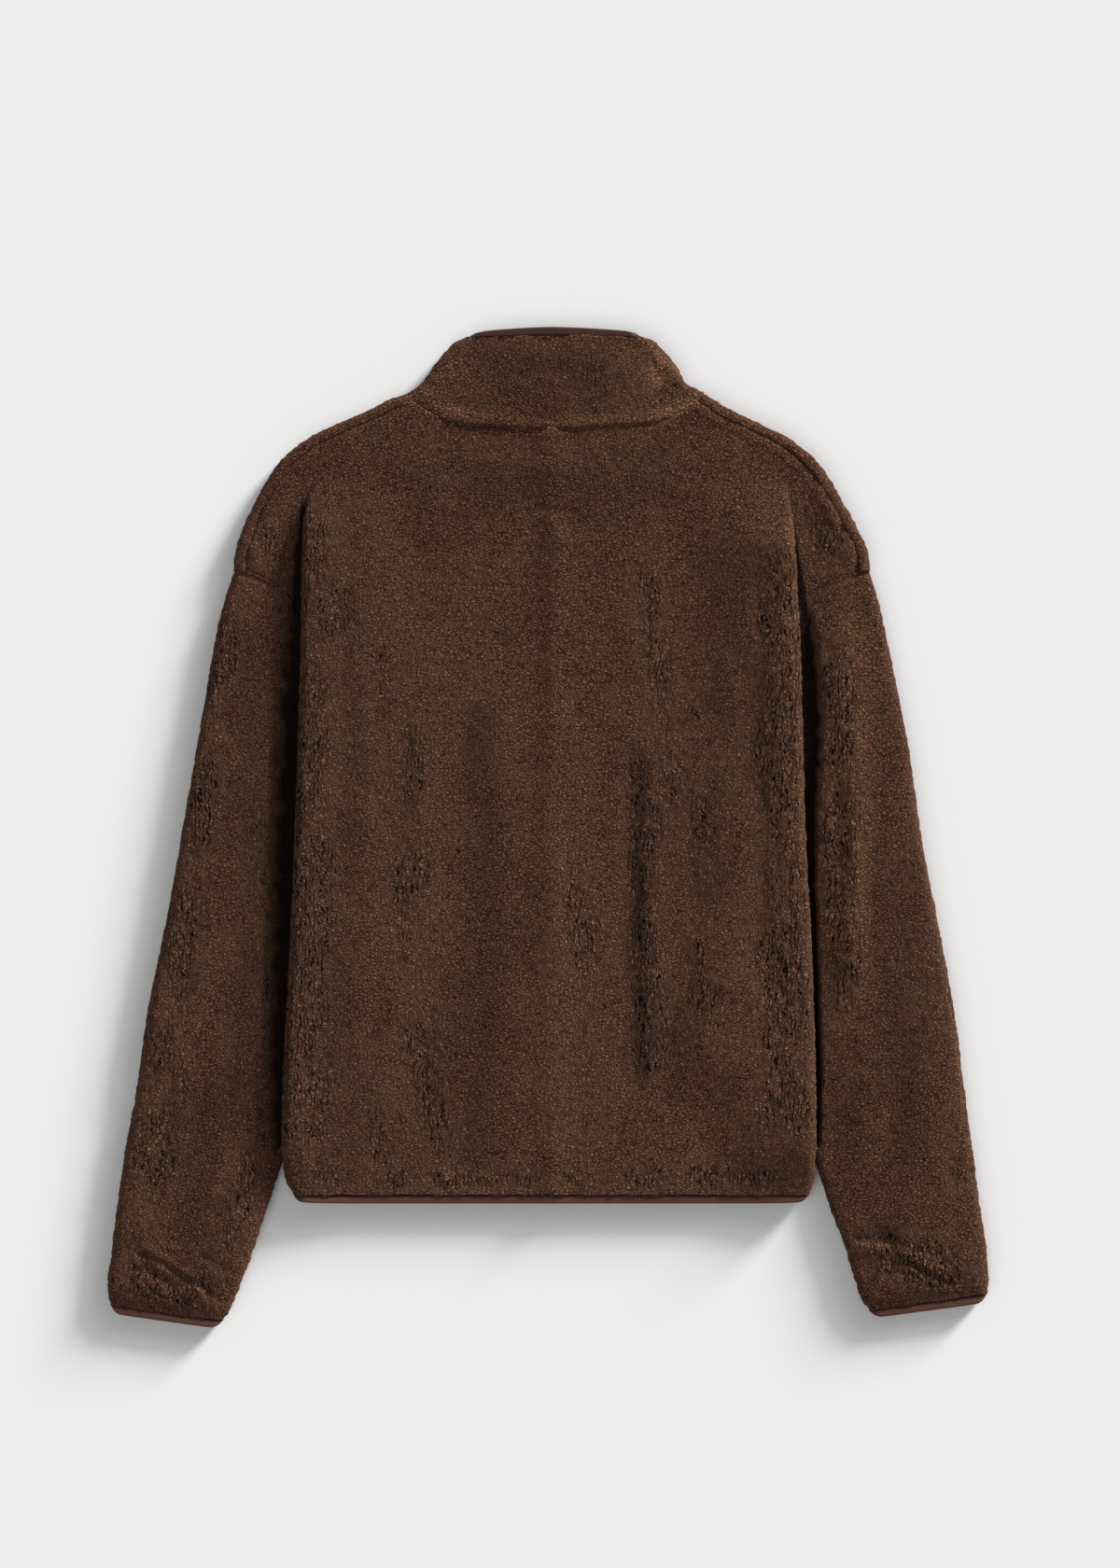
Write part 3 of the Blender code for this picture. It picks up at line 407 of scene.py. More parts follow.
def both_sides(row, places, steps):
    """A grid of whole rows, from the left end to the right one; row makes half of one, from the centre out."""
    halves = [(row(place, LEFT, steps), row(place, RIGHT, steps)) for place in places]
    return np.array([np.concatenate([left[::-1], right[1:]]) for left, right in halves])


def back_grid(places, steps):
    return both_sides(back_row, places, steps)


def armhole_bow(w, side):
    """How far the armhole seam bows out of the straight line from underarm to shoulder."""
    line = by_share(one_side(ARMHOLE, side))
    return read(line, w) - (line[0, 1:] + (line[-1, 1:] - line[0, 1:]) * np.asarray(w)[..., None])


def sleeve_ring(place, side, steps):
    """One ring of a sleeve's outer face: from its inner edge over the top, and round and back below."""
    table = np.c_[np.linspace(0, 1, len(SLEEVE_ROWS)), np.array(SLEEVE_ROWS, float)]
    row = read(table, place)
    outer, inner = np.array([row[1 + side], row[0]]), np.array([row[4 + side], row[3]])
    tall_in, tall_out = row[6], row[7]
    for edge in (outer, inner):
        edge[1] += side * RAISED_CUFF * float(smooth(0.72, 1, place))
    bowed = float(smooth(0.42, 0, place))

    def plan(w):
        w = np.asarray(w, float)
        return inner + (outer - inner) * w[..., None] + armhole_bow(w, side) * bowed

    wide = np.linalg.norm(np.diff(plan(np.linspace(0, 1, 30)), axis=0), axis=1).sum()
    first, last = tall_in / 2 / wide, 1 - tall_out / 2 / wide
    to_in, to_out = plan(first) - plan(first + 0.03), plan(last) - plan(last - 0.03)
    to_in, to_out = to_in / np.linalg.norm(to_in), to_out / np.linalg.norm(to_out)
    t = share(steps, "top")
    w = first + (last - first) * t
    at = plan(w)
    free = clear_of_body(at[:, 0], at[:, 1], side)
    puff = 0.3 + 2.6 * float(smooth(0, 0.3, place)) * float(smooth(1.02, 0.86, place))
    z = tall_in + ((tall_out - tall_in) * t + puff * np.sin(math.pi * t) ** 0.8) * smooth(-2, 38, free)
    for fold in SLEEVE_FOLDS:
        if fold[0] == side:
            z = z + ridge(fold[1:], at[:, 0], at[:, 1]) * smooth(2, 16, free) * np.sin(math.pi * t) ** 0.5
    top = np.c_[at, z]
    angle = math.pi * share(steps, "outer")
    round_out = np.c_[plan(last) + to_out * (tall_out / 2 * np.sin(angle))[:, None],
                      tall_out / 2 * (1 + np.cos(angle))]
    t = share(steps, "bottom")
    below = np.c_[plan(last + (first - last) * t), np.zeros(len(t))]
    angle = math.pi * share(steps, "inner")
    round_in = np.c_[plan(first) + to_in * (tall_in / 2 * np.sin(angle))[:, None],
                     tall_in / 2 * (1 - np.cos(angle))]
    return np.concatenate([top, round_out, below, round_in])


def sleeve_grid(places, side, steps):
    return np.array([sleeve_ring(max(place, 0.0011), side, steps) for place in places])


def front_line(place, side):
    """A row of a front seen from above: its zip edge, its bend and its outer end, each x and y.

    place runs 0 to 1 up the side seam, to 2 along the armhole and to 3 along the shoulder.
    """
    zip_x = CENTRE + OUT[side] * ZIP_GAP
    zip_y = float(np.interp(place, (0, 1, 2, 3), (HEM_Y, -16, 150, NECK_FRONT_Y)))
    if place <= 1:
        y = HEM_Y + (-12 - HEM_Y) * place
        end = np.array([float(body_edge(y, side)) - OUT[side] * (ROLL + 3 + 4 * SEAM), y])
    elif place <= 2:
        line = one_side(ARMHOLE, side)
        line[:, 0] -= OUT[side] * 6 * SEAM
        line[-1] = inset(SHOULDER, side, ROLL)[0]
        line[0, 1] += 4
        end = read(by_share(line), place - 1)
    else:
        end = read(by_share(inset(SHOULDER, side, ROLL)), place - 2)
    start = np.array([zip_x, zip_y])
    neck = float(smooth(2.1, 3, place))
    bend = (start + end) / 2 * (1 - neck) + np.array([OUT[side] * NECK_BEND + CENTRE, NECK_FRONT_Y + 3]) * neck
    return start, bend, end


def front_rows(places, side, columns):
    """The flat part of a front's outer face, from the zip edge to the side seam, armhole or shoulder."""
    t = (np.arange(columns + 1) / columns)[:, None]
    rows = []
    for place in places:
        start, bend, end = front_line(place, side)
        plan = start * (1 - t) ** 2 + bend * 2 * t * (1 - t) + end * t**2
        rows.append(np.c_[plan, front_height(plan[:, 0], plan[:, 1], side)])
    return np.array(rows)


def shoulder_roll(places, side, steps):
    """The part of a front that rolls over the shoulder's edge to the shoulder seam on top."""
    outline, bottom = by_share(inset(SHOULDER, side, 0)), by_share(inset(SHOULDER, side, ROLL))
    rows = []
    for place in places:
        edge, foot = read(outline, place), read(bottom, place)
        out = (edge - foot) / np.linalg.norm(edge - foot)
        angle = math.pi * np.arange(steps + 1) / steps
        arc = np.c_[foot + out * (ROLL * np.sin(angle))[:, None], ROLL * (1 - np.cos(angle))]
        rows.append(np.concatenate([arc, [[*(foot - out), 2 * ROLL]]]))
    return np.array(rows)


def collar_row(height, side, steps):
    """One row of the collar's outer face, from the centre back round the side fold to the zip."""
    side_point = read(COLLAR_SIDE, height)[[side, 2]]
    lean = 0.40 + 0.42 * height + 0.17 * float(smooth(0.55, 1, height))
    out = np.array([OUT[side] * lean, math.sqrt(1 - lean**2)])
    foot = side_point - out * ROLL
    if height < 0.15:
        seam_foot = read(by_share(inset(SHOULDER, side, ROLL)), 1.0) + np.array([-OUT[side] * 0.6, 0.9])
        near = 1 - height / 0.15
        foot = foot * (1 - near) + seam_foot * near
    back_y = NECK_BACK_Y + 2 * SEAM + 0.1 + (COLLAR_TOP_Y - NECK_BACK_Y) * height
    t = np.arange(0, steps["back"] + 1) / steps["back"]
    x = CENTRE + (foot[0] - CENTRE) * t
    neck = back_row(1.0, side, BACK_STEPS)
    sewn = np.interp(x * OUT[side], neck[:, 0] * OUT[side], neck[:, 1])
    sewn = (sewn - sewn[0]) / (sewn[-1] - sewn[0])
    y = back_y + (foot[1] - back_y) * (sewn + (t**1.1 - sewn) * height**0.7)
    seam_z = float(back_height(CENTRE, NECK_BACK_Y)) - 0.9
    rise = seam_z + (COLLAR_CREST - seam_z) * math.sin(math.pi * min(1, 0.12 + 0.80 * height)) ** 0.8
    rise = rise - 1.6 * float(smooth(0.7, 1, height))
    back = np.c_[x, y, rise + (2 * ROLL - rise) * smooth(0.45, 1, t)]
    angle = math.pi * share(steps, "roll")
    roll = np.c_[foot + out * (ROLL * np.sin(angle))[:, None], ROLL * (1 + np.cos(angle))]
    end_y = NECK_FRONT_Y + 0.7 + (COLLAR_FRONT_Y - NECK_FRONT_Y) * height
    end = np.array([CENTRE + OUT[side] * ZIP_GAP, end_y])
    bend = np.array([OUT[side] * (NECK_BEND - 44 * height) + CENTRE, NECK_FRONT_Y + 3.9 + 75 * height])
    t = share(steps, "front")[:, None]
    plan = foot * (1 - t) ** 2 + bend * 2 * t * (1 - t) + end * t**2
    return np.concatenate([back, roll, np.c_[plan, np.zeros(len(t))]])


def collar_grid(heights, steps):
    return both_sides(collar_row, heights, steps)


def unit(vectors):
    return vectors / np.linalg.norm(vectors, axis=-1, keepdims=True)


def lengths(points, axis=0):
    """How long each step from point to point is along an axis of a grid."""
    return np.linalg.norm(np.diff(points, axis=axis), axis=-1)


def edge_normals(line, depthwise, top, closed=False):
    """The direction out of the cloth along an edge, square to it and to depthwise; upwards at the point top."""
    along = np.roll(line, -1, 0) - np.roll(line, 1, 0) if closed else np.gradient(line, axis=0)
    normals = unit(np.cross(along, depthwise))
    return normals * (1 if normals[top, 2] > 0 else -1)


def hashed(cells, seed):
    """A repeatable number from 0 to 1 for each whole-number cell."""
    n = cells[..., 0] * 73856093 ^ cells[..., 1] * 19349663 ^ cells[..., 2] * 83492791 ^ seed * 668265263
    n = (n ^ (n >> 13)) * 1274126177
    return ((n ^ (n >> 16)) & 0xFFFF) / 65535.0


def noise(points, size, seed=1):
    """Soft noise from 0 to 1 whose blotches are about size across."""
    p = points / size + 500.0
    cell = np.floor(p).astype(np.int64)
    t = p - cell
    t = t * t * (3 - 2 * t)
    total = 0.0
    for corner in np.ndindex(2, 2, 2):
        weight = np.prod(np.where(corner, t, 1 - t), axis=-1)
        total = total + weight * hashed(cell + np.array(corner), seed)
    return total


def tufts(points, size, seed=1):
    """Distances to the nearest and to the second tuft, in tuft widths."""
    p = points / size + 500.0
    cell = np.floor(p).astype(np.int64)
    near = np.full(p.shape[:-1], 9.0)
    second = near.copy()
    for step in np.ndindex(3, 3, 3):
        there = cell + np.array(step) - 1
        spot = np.stack([hashed(there, seed + k) for k in range(3)], axis=-1)
        far = np.linalg.norm(there + 0.12 + 0.76 * spot - p, axis=-1)
        second = np.minimum(second, np.maximum(near, far))
        near = np.minimum(near, far)
    return near, second


def zone_strength(x, y):
    total = np.zeros(np.broadcast(x, y).shape)
    for zone in COARSE:
        total = np.maximum(total, np.abs(ridge(zone, x, y)))
    return np.clip(total, 0, 1)


def creased(points):
    return sum(ridge(crease, points[..., 0], points[..., 1]) for crease in CREASES)


def nap_and_painted_light_at(points, normals):
    """How much lighter or darker the nap and the painted light and shade make the pile at each point that faces
    up.
    """
    total = sum(ridge(streak, points[..., 0], points[..., 1]) for streak in NAP_AND_PAINTED_LIGHT)
    return total * (0.75 + 0.5 * noise(points * [1, 0.5, 1], 16, 95)) * smooth(-0.1, 0.4, normals[..., 2])


def in_shaded_gap(x, y, side):
    """How deep each point of a sleeve or shoulder lies in the gap beside the body's edge, painted in shade, 0
    to 1.
    """
    free = outside(x, y, side)
    wide = np.maximum(read(SHADED_GAP_ROWS, y)[..., side], 0.01)
    ragged = 0.25 * (noise(np.stack([x, y, 0 * x], axis=-1), 6.0, 91) - 0.5)
    return smooth(1.1, (0.30, 0.65)[side], free / wide + ragged) * smooth(-14, -4, free) * smooth(0.5, 4, wide)


def pile(points, ragged=0.0):
    """How far the pile stands out in mm at each point, how deep in a parting it lies and how coarse it is.

    The last two run from 0 to 1. ragged, from 0 to 1, makes the tufts of an outline stand out more.
    """
    coarse = zone_strength(points[..., 0], points[..., 1]) * (0.7 + 0.5 * noise(points, 22, 4))
    coarse = np.clip(coarse + 0.7 * (noise(points * [1, 0.5, 1], 16, 5) - 0.32), 0.12, 1)
    drift = np.stack([noise(points, 8, seed) for seed in (11, 12, 13)], axis=-1) - 0.5
    near, second = tufts((points + 3 * drift) * [1, 0.85, 1], CURL_SIZE, 21)
    curl = (0.5 - near) * (0.08 + 1.5 * ragged)
    near, second = tufts((points + 7 * drift) * [1, 0.6, 1], TUFT_SIZE, 41)
    parting = smooth(0.20, 0.0, second - near) * smooth(0.15, 0.8, coarse)
    lump = (0.5 - near) * (0.08 + 0.4 * coarse + 0.4 * ragged)
    swell = 0.4 * (noise(points, 15, 61) - 0.5) + 0.8 * (noise(points * [1, 0.45, 1], 10, 62) - 0.5) * coarse
    swell = swell * (1 - 0.7 * ragged)
    return curl + lump + swell - 0.6 * parting, parting, coarse


def grid_normals(grid, wrap, flip):
    down = np.gradient(grid, axis=0)
    across = np.roll(grid, -1, 1) - np.roll(grid, 1, 1) if wrap else np.gradient(grid, axis=1)
    return unit(np.cross(across, down) * (-1 if flip else 1))


def from_ends(grid, axis=0):
    """The distance of each point from the first and from the last end of its grid along an axis."""
    far = np.cumsum(lengths(grid, axis), axis=axis)
    first = np.concatenate([0 * np.take(far, [0], axis), far], axis=axis)
    return first, np.take(first, [-1], axis) - first


def seam_dip(away, depth, trough=0.0):
    """The pile sinks into a seam and stands up beside it; the cloth itself may lie in a wider trough."""
    return (-depth * np.exp(-((away / 2.2) ** 2)) + 0.4 * np.exp(-(((away - 5) / 2.8) ** 2))
            - trough * np.exp(-((away / 8.0) ** 2)))


def make_object(name, points, faces, materials, face_materials=None, attributes=None, uv=None):
    mesh = bpy.data.meshes.new(name)
    mesh.from_pydata((np.asarray(points) * MM).tolist(), [], faces)
    for finish_material in materials:
        mesh.materials.append(finish_material)
    if face_materials is not None:
        mesh.polygons.foreach_set("material_index", np.asarray(face_materials, np.int32))
    for key, values in (attributes or {}).items():
        mesh.attributes.new(key, "FLOAT", "POINT").data.foreach_set("value", np.asarray(values, np.float32))
    if uv is not None:
        layer = mesh.uv_layers.new(name="strip")
        corner = np.empty(len(mesh.loops), np.int32)
        mesh.loops.foreach_get("vertex_index", corner)
        layer.data.foreach_set("uv", np.asarray(uv, np.float32)[corner].ravel())
    mesh.shade_smooth()
    mesh.update()
    made = bpy.data.objects.new(name, mesh)
    bpy.context.collection.objects.link(made)
    return made


def edge_rows(row, depthwise, normals, reach):
    """Two more rows of an edge whose pile hangs over its binding: one tucked in below, and one out over it."""
    # Ragged in single curls and in 9 mm tufts.
    ragged = 3.0 * (noise(row, 3.6, 71) - 0.5) + 3.4 * (noise(row, 9, 72) - 0.5)
    out = row + depthwise * np.maximum(reach + ragged, 0.5)[:, None]
    out = out + normals * (0.45 - 0.5 * noise(row, 4, 73))[:, None]
    tucked = row + depthwise * 0.15 - normals * 1.6
    return tucked, out


def above_floor(rows):
    return [row + [0, 0, 1] * np.maximum(0, 0.05 - row[:, 2:]) for row in rows]


def over_seam(edge, off):
    """Moves the pile's edge out over the seam it ends at, unevenly."""
    edge += off * (0.7 + 1.5 * noise(edge, 4.0, 81))[:, None]


def closed_across(table):
    return np.concatenate([table, table[:, :1]], axis=1)


def quads(table, turn=False):
    """The corners of the quads between the rows and columns of a table of point numbers."""
    corners = np.stack([table[:-1, :-1], table[:-1, 1:], table[1:, 1:], table[1:, :-1]], axis=-1).reshape(-1, 4)
    return corners[:, ::-1] if turn else corners


def cloth_shell(name, grid, normals, wrap, flip, pile_share, lead, tail, every, materials, wall=FLEECE,
                gap_and_painted_shade=0.0):
    """A closed wall: the fine pile face, the plain inner face on every n-th point, and the rims between.

    pile_share is how much of the pile's relief and what further height each point gets. lead and tail are
    two more rows beyond the first and the last. gap_and_painted_shade says how deep each point lies in the fold
    beside the body's edge, which the fleece paints in deep shade.
    """
    rows, cols = grid.shape[:2]
    stands, parting, coarse = pile(grid, smooth(0.75, 0.35, np.abs(normals[..., 2])))
    face = grid + normals * (stands * pile_share[0] + pile_share[1])[..., None]
    gap_and_painted_shade = np.broadcast_to(gap_and_painted_shade, (rows, cols))
    # The pile of two pieces meets over the seam between them.
    if lead is None:
        over_seam(face[0], off_edge(grid))
    if tail is None:
        over_seam(face[-1], off_edge(grid[::-1]))
    if not wrap:
        over_seam(face[:, 0], off_edge(grid.swapaxes(0, 1)))
        over_seam(face[:, -1], off_edge(grid.swapaxes(0, 1)[::-1]))
    extra = [np.stack(lead)] if lead is not None else []
    ends = [np.stack(tail)[::-1]] if tail is not None else []
    outer = np.concatenate(extra + [face] + ends)
    before = 2 if lead is not None else 0
    height, width = outer.shape[:2]
    keep_r = np.unique(np.r_[np.arange(0, rows, every), rows - 1])
    keep_c = np.unique(np.r_[np.arange(0, cols, every), cols - 1] if not wrap else np.arange(0, cols, every))
    inner = (grid - normals * np.broadcast_to(wall, (rows, cols))[..., None])[keep_r][:, keep_c]
    index = np.arange(height * width).reshape(height, width)
    low = height * width + np.arange(len(keep_r) * len(keep_c)).reshape(len(keep_r), len(keep_c))
    faces = quads(closed_across(index) if wrap else index, flip).tolist()
    fine = len(faces)
    faces += quads(closed_across(low) if wrap else low, not flip).tolist()

    def rim(fine_line, coarse_line, stops, turn):
        for k in range(len(coarse_line) - 1):
            run = fine_line[stops[k]:stops[k + 1] + 1].tolist()
            face = run[::-1] + [coarse_line[k], coarse_line[k + 1]]
            faces.append([int(v) for v in (face[::-1] if turn else face)])

    stops = list(keep_c)
    first, last, low_first, low_last = index[0], index[-1], low[0], low[-1]
    if wrap:
        stops = stops + [cols]
        first, last = np.r_[first, first[0]], np.r_[last, last[0]]
        low_first, low_last = np.r_[low_first, low_first[0]], np.r_[low_last, low_last[0]]
    rim(first, low_first, stops, flip)
    rim(last, low_last, stops, not flip)
    if not wrap:
        side_stops = [0] + [int(r) + before for r in keep_r[1:-1]] + [height - 1]
        rim(index[:, 0], low[:, 0], side_stops, not flip)
        rim(index[:, -1], low[:, -1], side_stops, flip)

    def spread(values, fill):
        full = np.empty((height, width))
        full[:before], full[before + rows:] = values[0], values[-1]
        full[before:before + rows] = values
        return np.r_[full.ravel(), np.full(low.size, fill)]

    slots = np.r_[np.zeros(fine), np.ones(len(faces) - fine)]
    points = np.concatenate([outer.reshape(-1, 3), inner.reshape(-1, 3)])
    return make_object(name, points, faces, materials, slots,
                       {"parting": spread(parting * pile_share[0], 0.0), "coarse": spread(coarse, 0.6),
                        "gap_and_painted_shade": spread(gap_and_painted_shade, 0.0), "nap_and_painted_light": spread(nap_and_painted_light_at(grid, normals), 0.0)})


def off_edge(rows_near_edge):
    """The direction off a piece's edge, from its second row to its first."""
    return unit(rows_near_edge[0] - rows_near_edge[1])


def make_back(materials):
    places = np.linspace(0, 1, BACK_FINE_ROWS)
    grid = back_grid(places, BACK_FINE)
    normals = grid_normals(grid, False, False)
    to_neck, to_side = from_ends(grid)[1], np.minimum(*from_ends(grid, 1))
    shows = smooth(BACK_TURNED, BACK_SHOWS, places)[:, None]
    low_end = smooth(205, 190, grid[..., 1]) * 1.4
    dip = seam_dip(to_neck, -0.5) + seam_dip(to_side, 0.1, low_end) * shows + creased(grid)
    share_up = smooth(-0.45, 0.1, normals[..., 2])
    lead = edge_rows(grid[0], off_edge(grid), normals[0], 1.6)
    turned = sum(BACK_FINE[part] for part in ("cap", "valley", "under"))
    # Where the cap shows, its points in the gap beside the body's edge are painted in deep shade.
    gap_and_painted_shade = np.zeros(grid.shape[:2])
    for side, part in ((LEFT, slice(0, turned)), (RIGHT, slice(-turned, None))):
        gap_and_painted_shade[:, part] = in_shaded_gap(grid[:, part, 0], grid[:, part, 1], side) * shows
    return cloth_shell("back_pile", grid, normals, False, False, (share_up, dip * share_up), lead, None, 6,
                       materials, gap_and_painted_shade=gap_and_painted_shade)


def make_sleeve(side, materials):
    grid = sleeve_grid(np.linspace(0, 1, SLEEVE_FINE_RINGS), side, SLEEVE_FINE)
    flip = side == RIGHT
    # Beside the body's edge the sleeve is pressed down, into a trough, which is also painted in deep shade.
    top = grid[:, :SLEEVE_FINE["top"]]
    gap_and_painted_shade = np.zeros(grid.shape[:2])
    gap_and_painted_shade[:, :SLEEVE_FINE["top"]] = in_shaded_gap(top[..., 0], top[..., 1], side)
    grid[..., 2] -= TROUGH_DEPTH * gap_and_painted_shade * smooth(0.0, 0.06, np.linspace(0, 1, SLEEVE_FINE_RINGS))[:, None]
    wall = np.full(grid.shape[:2], FLEECE)
    wall[:, :SLEEVE_FINE["top"]] = np.clip(top[..., 2] - FLEECE - 0.2, 1.2, FLEECE)
    normals = grid_normals(grid, True, flip)
    # The hidden stretch under the body folds tightly: its faces look straight up and down.
    inner, bottom = SLEEVE_FINE["inner"], SLEEVE_FINE["bottom"]
    for part, sign in ((slice(0, SLEEVE_FINE["top"]), 1), (slice(-inner - bottom, -inner), -1)):
        wrong = normals[:, part, 2] * sign < 0.5
        normals[:, part][wrong] = (0, 0, sign)
    free = clear_of_body(grid[..., 0], grid[..., 1], side)
    share_up = smooth(-0.5, 0.1, normals[..., 2]) * smooth(-1, 5, free) * smooth(0.4, 2.5, grid[..., 2])
    dip = seam_dip(from_ends(grid)[0], 0.0, 1.4) + creased(grid)
    off = off_edge(grid)
    # The sleeve's edge runs on a little way under the shoulder.
    lead = [grid[0] + off * out - normals[0] * deep for out, deep in ((3.4, 2.2), (1.4, 0.5))]
    tail = edge_rows(grid[-1], off_edge(grid[::-1]), normals[-1], 1.5)
    return cloth_shell(f"sleeve_{SIDE_NAMES[side]}_pile", grid, normals, True, flip, (share_up, dip * share_up),
                       lead, above_floor(tail), 5, materials, wall, gap_and_painted_shade)


def make_collar(materials):
    grid = collar_grid(np.linspace(0, 1, COLLAR_FINE_ROWS), COLLAR_FINE)
    normals = grid_normals(grid, False, False)
    share_up = smooth(-0.5, 0.1, normals[..., 2])
    dip = seam_dip(from_ends(grid)[0], 0.0) + creased(grid)
    tail = edge_rows(grid[-1], off_edge(grid[::-1]), normals[-1], 1.0)
    return cloth_shell("collar_pile", grid, normals, False, False, (share_up, dip * share_up), None,
                       above_floor(tail), 4, materials)


def make_front(side, materials):
    """A front: its flat panel and the part that rolls over the shoulder, in one wall."""
    places = np.r_[np.linspace(0, 2, FRONT_FINE_ROWS), np.linspace(2, 3, ROLL_FINE_ROWS)[1:]]
    flat = front_rows(places, side, FRONT_FINE_COLUMNS)
    roll = shoulder_roll(np.linspace(0, 1, ROLL_FINE_ROWS), side, ROLL_FINE_STEPS)
    flip = side == RIGHT
    index = np.arange(flat.shape[0] * flat.shape[1]).reshape(flat.shape[:2])
    turn = index.size + np.arange(roll.shape[0] * (roll.shape[1] - 1)).reshape(roll.shape[0], -1)
    turn = np.concatenate([index[-ROLL_FINE_ROWS:, -1:], turn], axis=1)
    points = np.concatenate([flat.reshape(-1, 3), roll[:, 1:].reshape(-1, 3)])
    upper = np.concatenate([quads(index, flip), quads(turn, flip)])
    normals = np.zeros_like(points)
    crossed = np.cross(points[upper[:, 2]] - points[upper[:, 0]], points[upper[:, 3]] - points[upper[:, 1]])
    for k in range(4):
        np.add.at(normals, upper[:, k], crossed)
    normals = unit(normals)
    stands, parting, coarse = pile(points, smooth(0.75, 0.35, np.abs(normals[:, 2])))
    share_up = smooth(-0.5, 0.1, normals[:, 2]) * smooth(1.0, 3.0, points[:, 2])
    rim_away = np.full(len(points), 50.0)
    roll_away = np.cumsum(np.r_[0, lengths(roll[ROLL_FINE_ROWS // 2][::-1])])[::-1]
    rim_away[turn.ravel()] = np.tile(roll_away, ROLL_FINE_ROWS)
    outer = points + normals * ((stands + seam_dip(rim_away, 0.1)) * share_up)[:, None]
    rim = outer[turn[:, -1]]
    over_seam(rim, off_edge(roll[:, ::-1].swapaxes(0, 1)))
    outer[turn[:, -1]] = rim
    inner = points - normals * FLEECE
    count = len(points)
    edges = {pair: True for quad in upper.tolist() for pair in zip(quad, quad[1:] + quad[:1])}
    rims = [(b, a, a + count, b + count) for a, b in edges if (b, a) not in edges]
    faces = upper.tolist() + (upper[:, ::-1] + count).tolist() + rims
    slots = np.r_[np.zeros(len(upper)), np.ones(len(faces) - len(upper))]
    attributes = {"parting": np.r_[parting * share_up, parting * 0], "coarse": np.r_[coarse, coarse],
                  "gap_and_painted_shade": np.zeros(2 * count)}
    return make_object(f"front_{SIDE_NAMES[side]}_pile", np.concatenate([outer, inner]), faces, materials,
                       slots, attributes)


def rounded_binding(line, normals, depthwise, chord, rounding):
    """The section of an elastic binding folded over the edge: flat on both sides, rounded where it folds."""
    near, far = (FLEECE - BIND_THICK) / 2, (FLEECE + BIND_THICK) / 2
    middle, radius = FLEECE / 2, BIND_THICK / 2
    section = [(-0.8, near), (1.6, near - 0.1), (3.0, near + 0.05), (4.4, near)]
    for angle in np.linspace(-90, 90, 9):
        turn = math.radians(angle)
        section.append((BIND_DEPTH - radius + radius * math.cos(turn), middle + radius * math.sin(turn)))
    section += [(4.4, far), (2.2, far), (-0.8, far)]
    # The corners are rounded: near the edge's two ends the tape's fold draws in and is shorter.
    along = line[:, :2] @ chord
    middle_along = (along.max() + along.min()) / 2
    end_share = (along - middle_along) / (along.max() - middle_along)
    rows = []
    for off, deep in section:
        reach = max(off, 0) / BIND_DEPTH
        short = 1 - 0.035 * rounding * end_share**10 * reach
        inward = -rounding * np.sign(end_share) * np.abs(end_share) ** 6 * reach**2
        place = line + depthwise * (off * short)[:, None] - normals * deep
        place[:, :2] += chord * inward[:, None]
        rows.append(place)
    return np.stack(rows, axis=1), section


def make_binding(name, line, normals, depthwise, chord, rounding, closed, elastic):
    rings, section = rounded_binding(line, normals, depthwise, np.array(chord, float), rounding)
    count, around = rings.shape[:2]
    index = np.arange(count * around).reshape(count, around)
    table = closed_across(index)
    faces = quads(np.concatenate([table, table[:1]]) if closed else table).tolist()
    if not closed:
        faces += [index[0][::-1].tolist(), index[-1].tolist()]
    run, across = (np.r_[0, np.cumsum(lengths(np.array(path)))] for path in (line, section))
    uv = np.stack(np.meshgrid(run * MM, across * MM, indexing="ij"), axis=-1).reshape(-1, 2)
    made = make_object(name, rings.reshape(-1, 3), faces, [elastic], uv=uv)
    outwards(made)
    return made


def outwards(made):
    """Turns a closed mesh's faces outwards."""
    mesh = bmesh.new()
    mesh.from_mesh(made.data)
    bmesh.ops.recalc_face_normals(mesh, faces=mesh.faces)
    mesh.to_mesh(made.data)
    mesh.free()


def smoothed(line, passes=3):
    """A line with its small kinks eased, its ends kept."""
    for _ in range(passes):
        line = np.concatenate([line[:1], (line[:-2] + 2 * line[1:-1] + line[2:]) / 4, line[-1:]])
    return line


def make_bindings(elastic, shaded_collar_elastic):
    down = np.array([0.0, -1.0, 0.0])
    left, right = (front_rows([0.0], side, 60)[0] for side in (LEFT, RIGHT))
    back = back_grid([0.0], HEM_FINE)[0]
    line = smoothed(np.concatenate([left, back, right[::-1]]))
    normals = edge_normals(line, down, len(line) // 2)
    hem = make_binding("hem_band", line, normals, down, (1, 0), BIND_CORNER, False, elastic)
    cuffs = []
    for side, name in enumerate(SIDE_NAMES):
        line = sleeve_ring(1.0, side, CUFF_FINE)
        row = SLEEVE_ROWS[-1]
        chord = unit(np.array([row[1 + side] - row[4 + side], row[0] - row[3]], float))
        off = np.array([chord[1], -chord[0], 0.0]) * OUT[side]
        normals = edge_normals(line, off, CUFF_FINE["top"] // 2, closed=True)
        cuffs.append(make_binding(f"cuff_band_{name}", line, normals, off, chord, BIND_CORNER, True, elastic))
    below, line = collar_grid([0.85, 1.0], COLLAR_FINE)
    line, up = smoothed(line), unit(smoothed(line - below) * [COLLAR_LEAN, 1, 0])
    normals = edge_normals(line, up, len(line) // 2)
    top = make_binding("collar_band", line, normals, up, (1, 0), COLLAR_CORNER, False, shaded_collar_elastic)
    return hem, cuffs, top


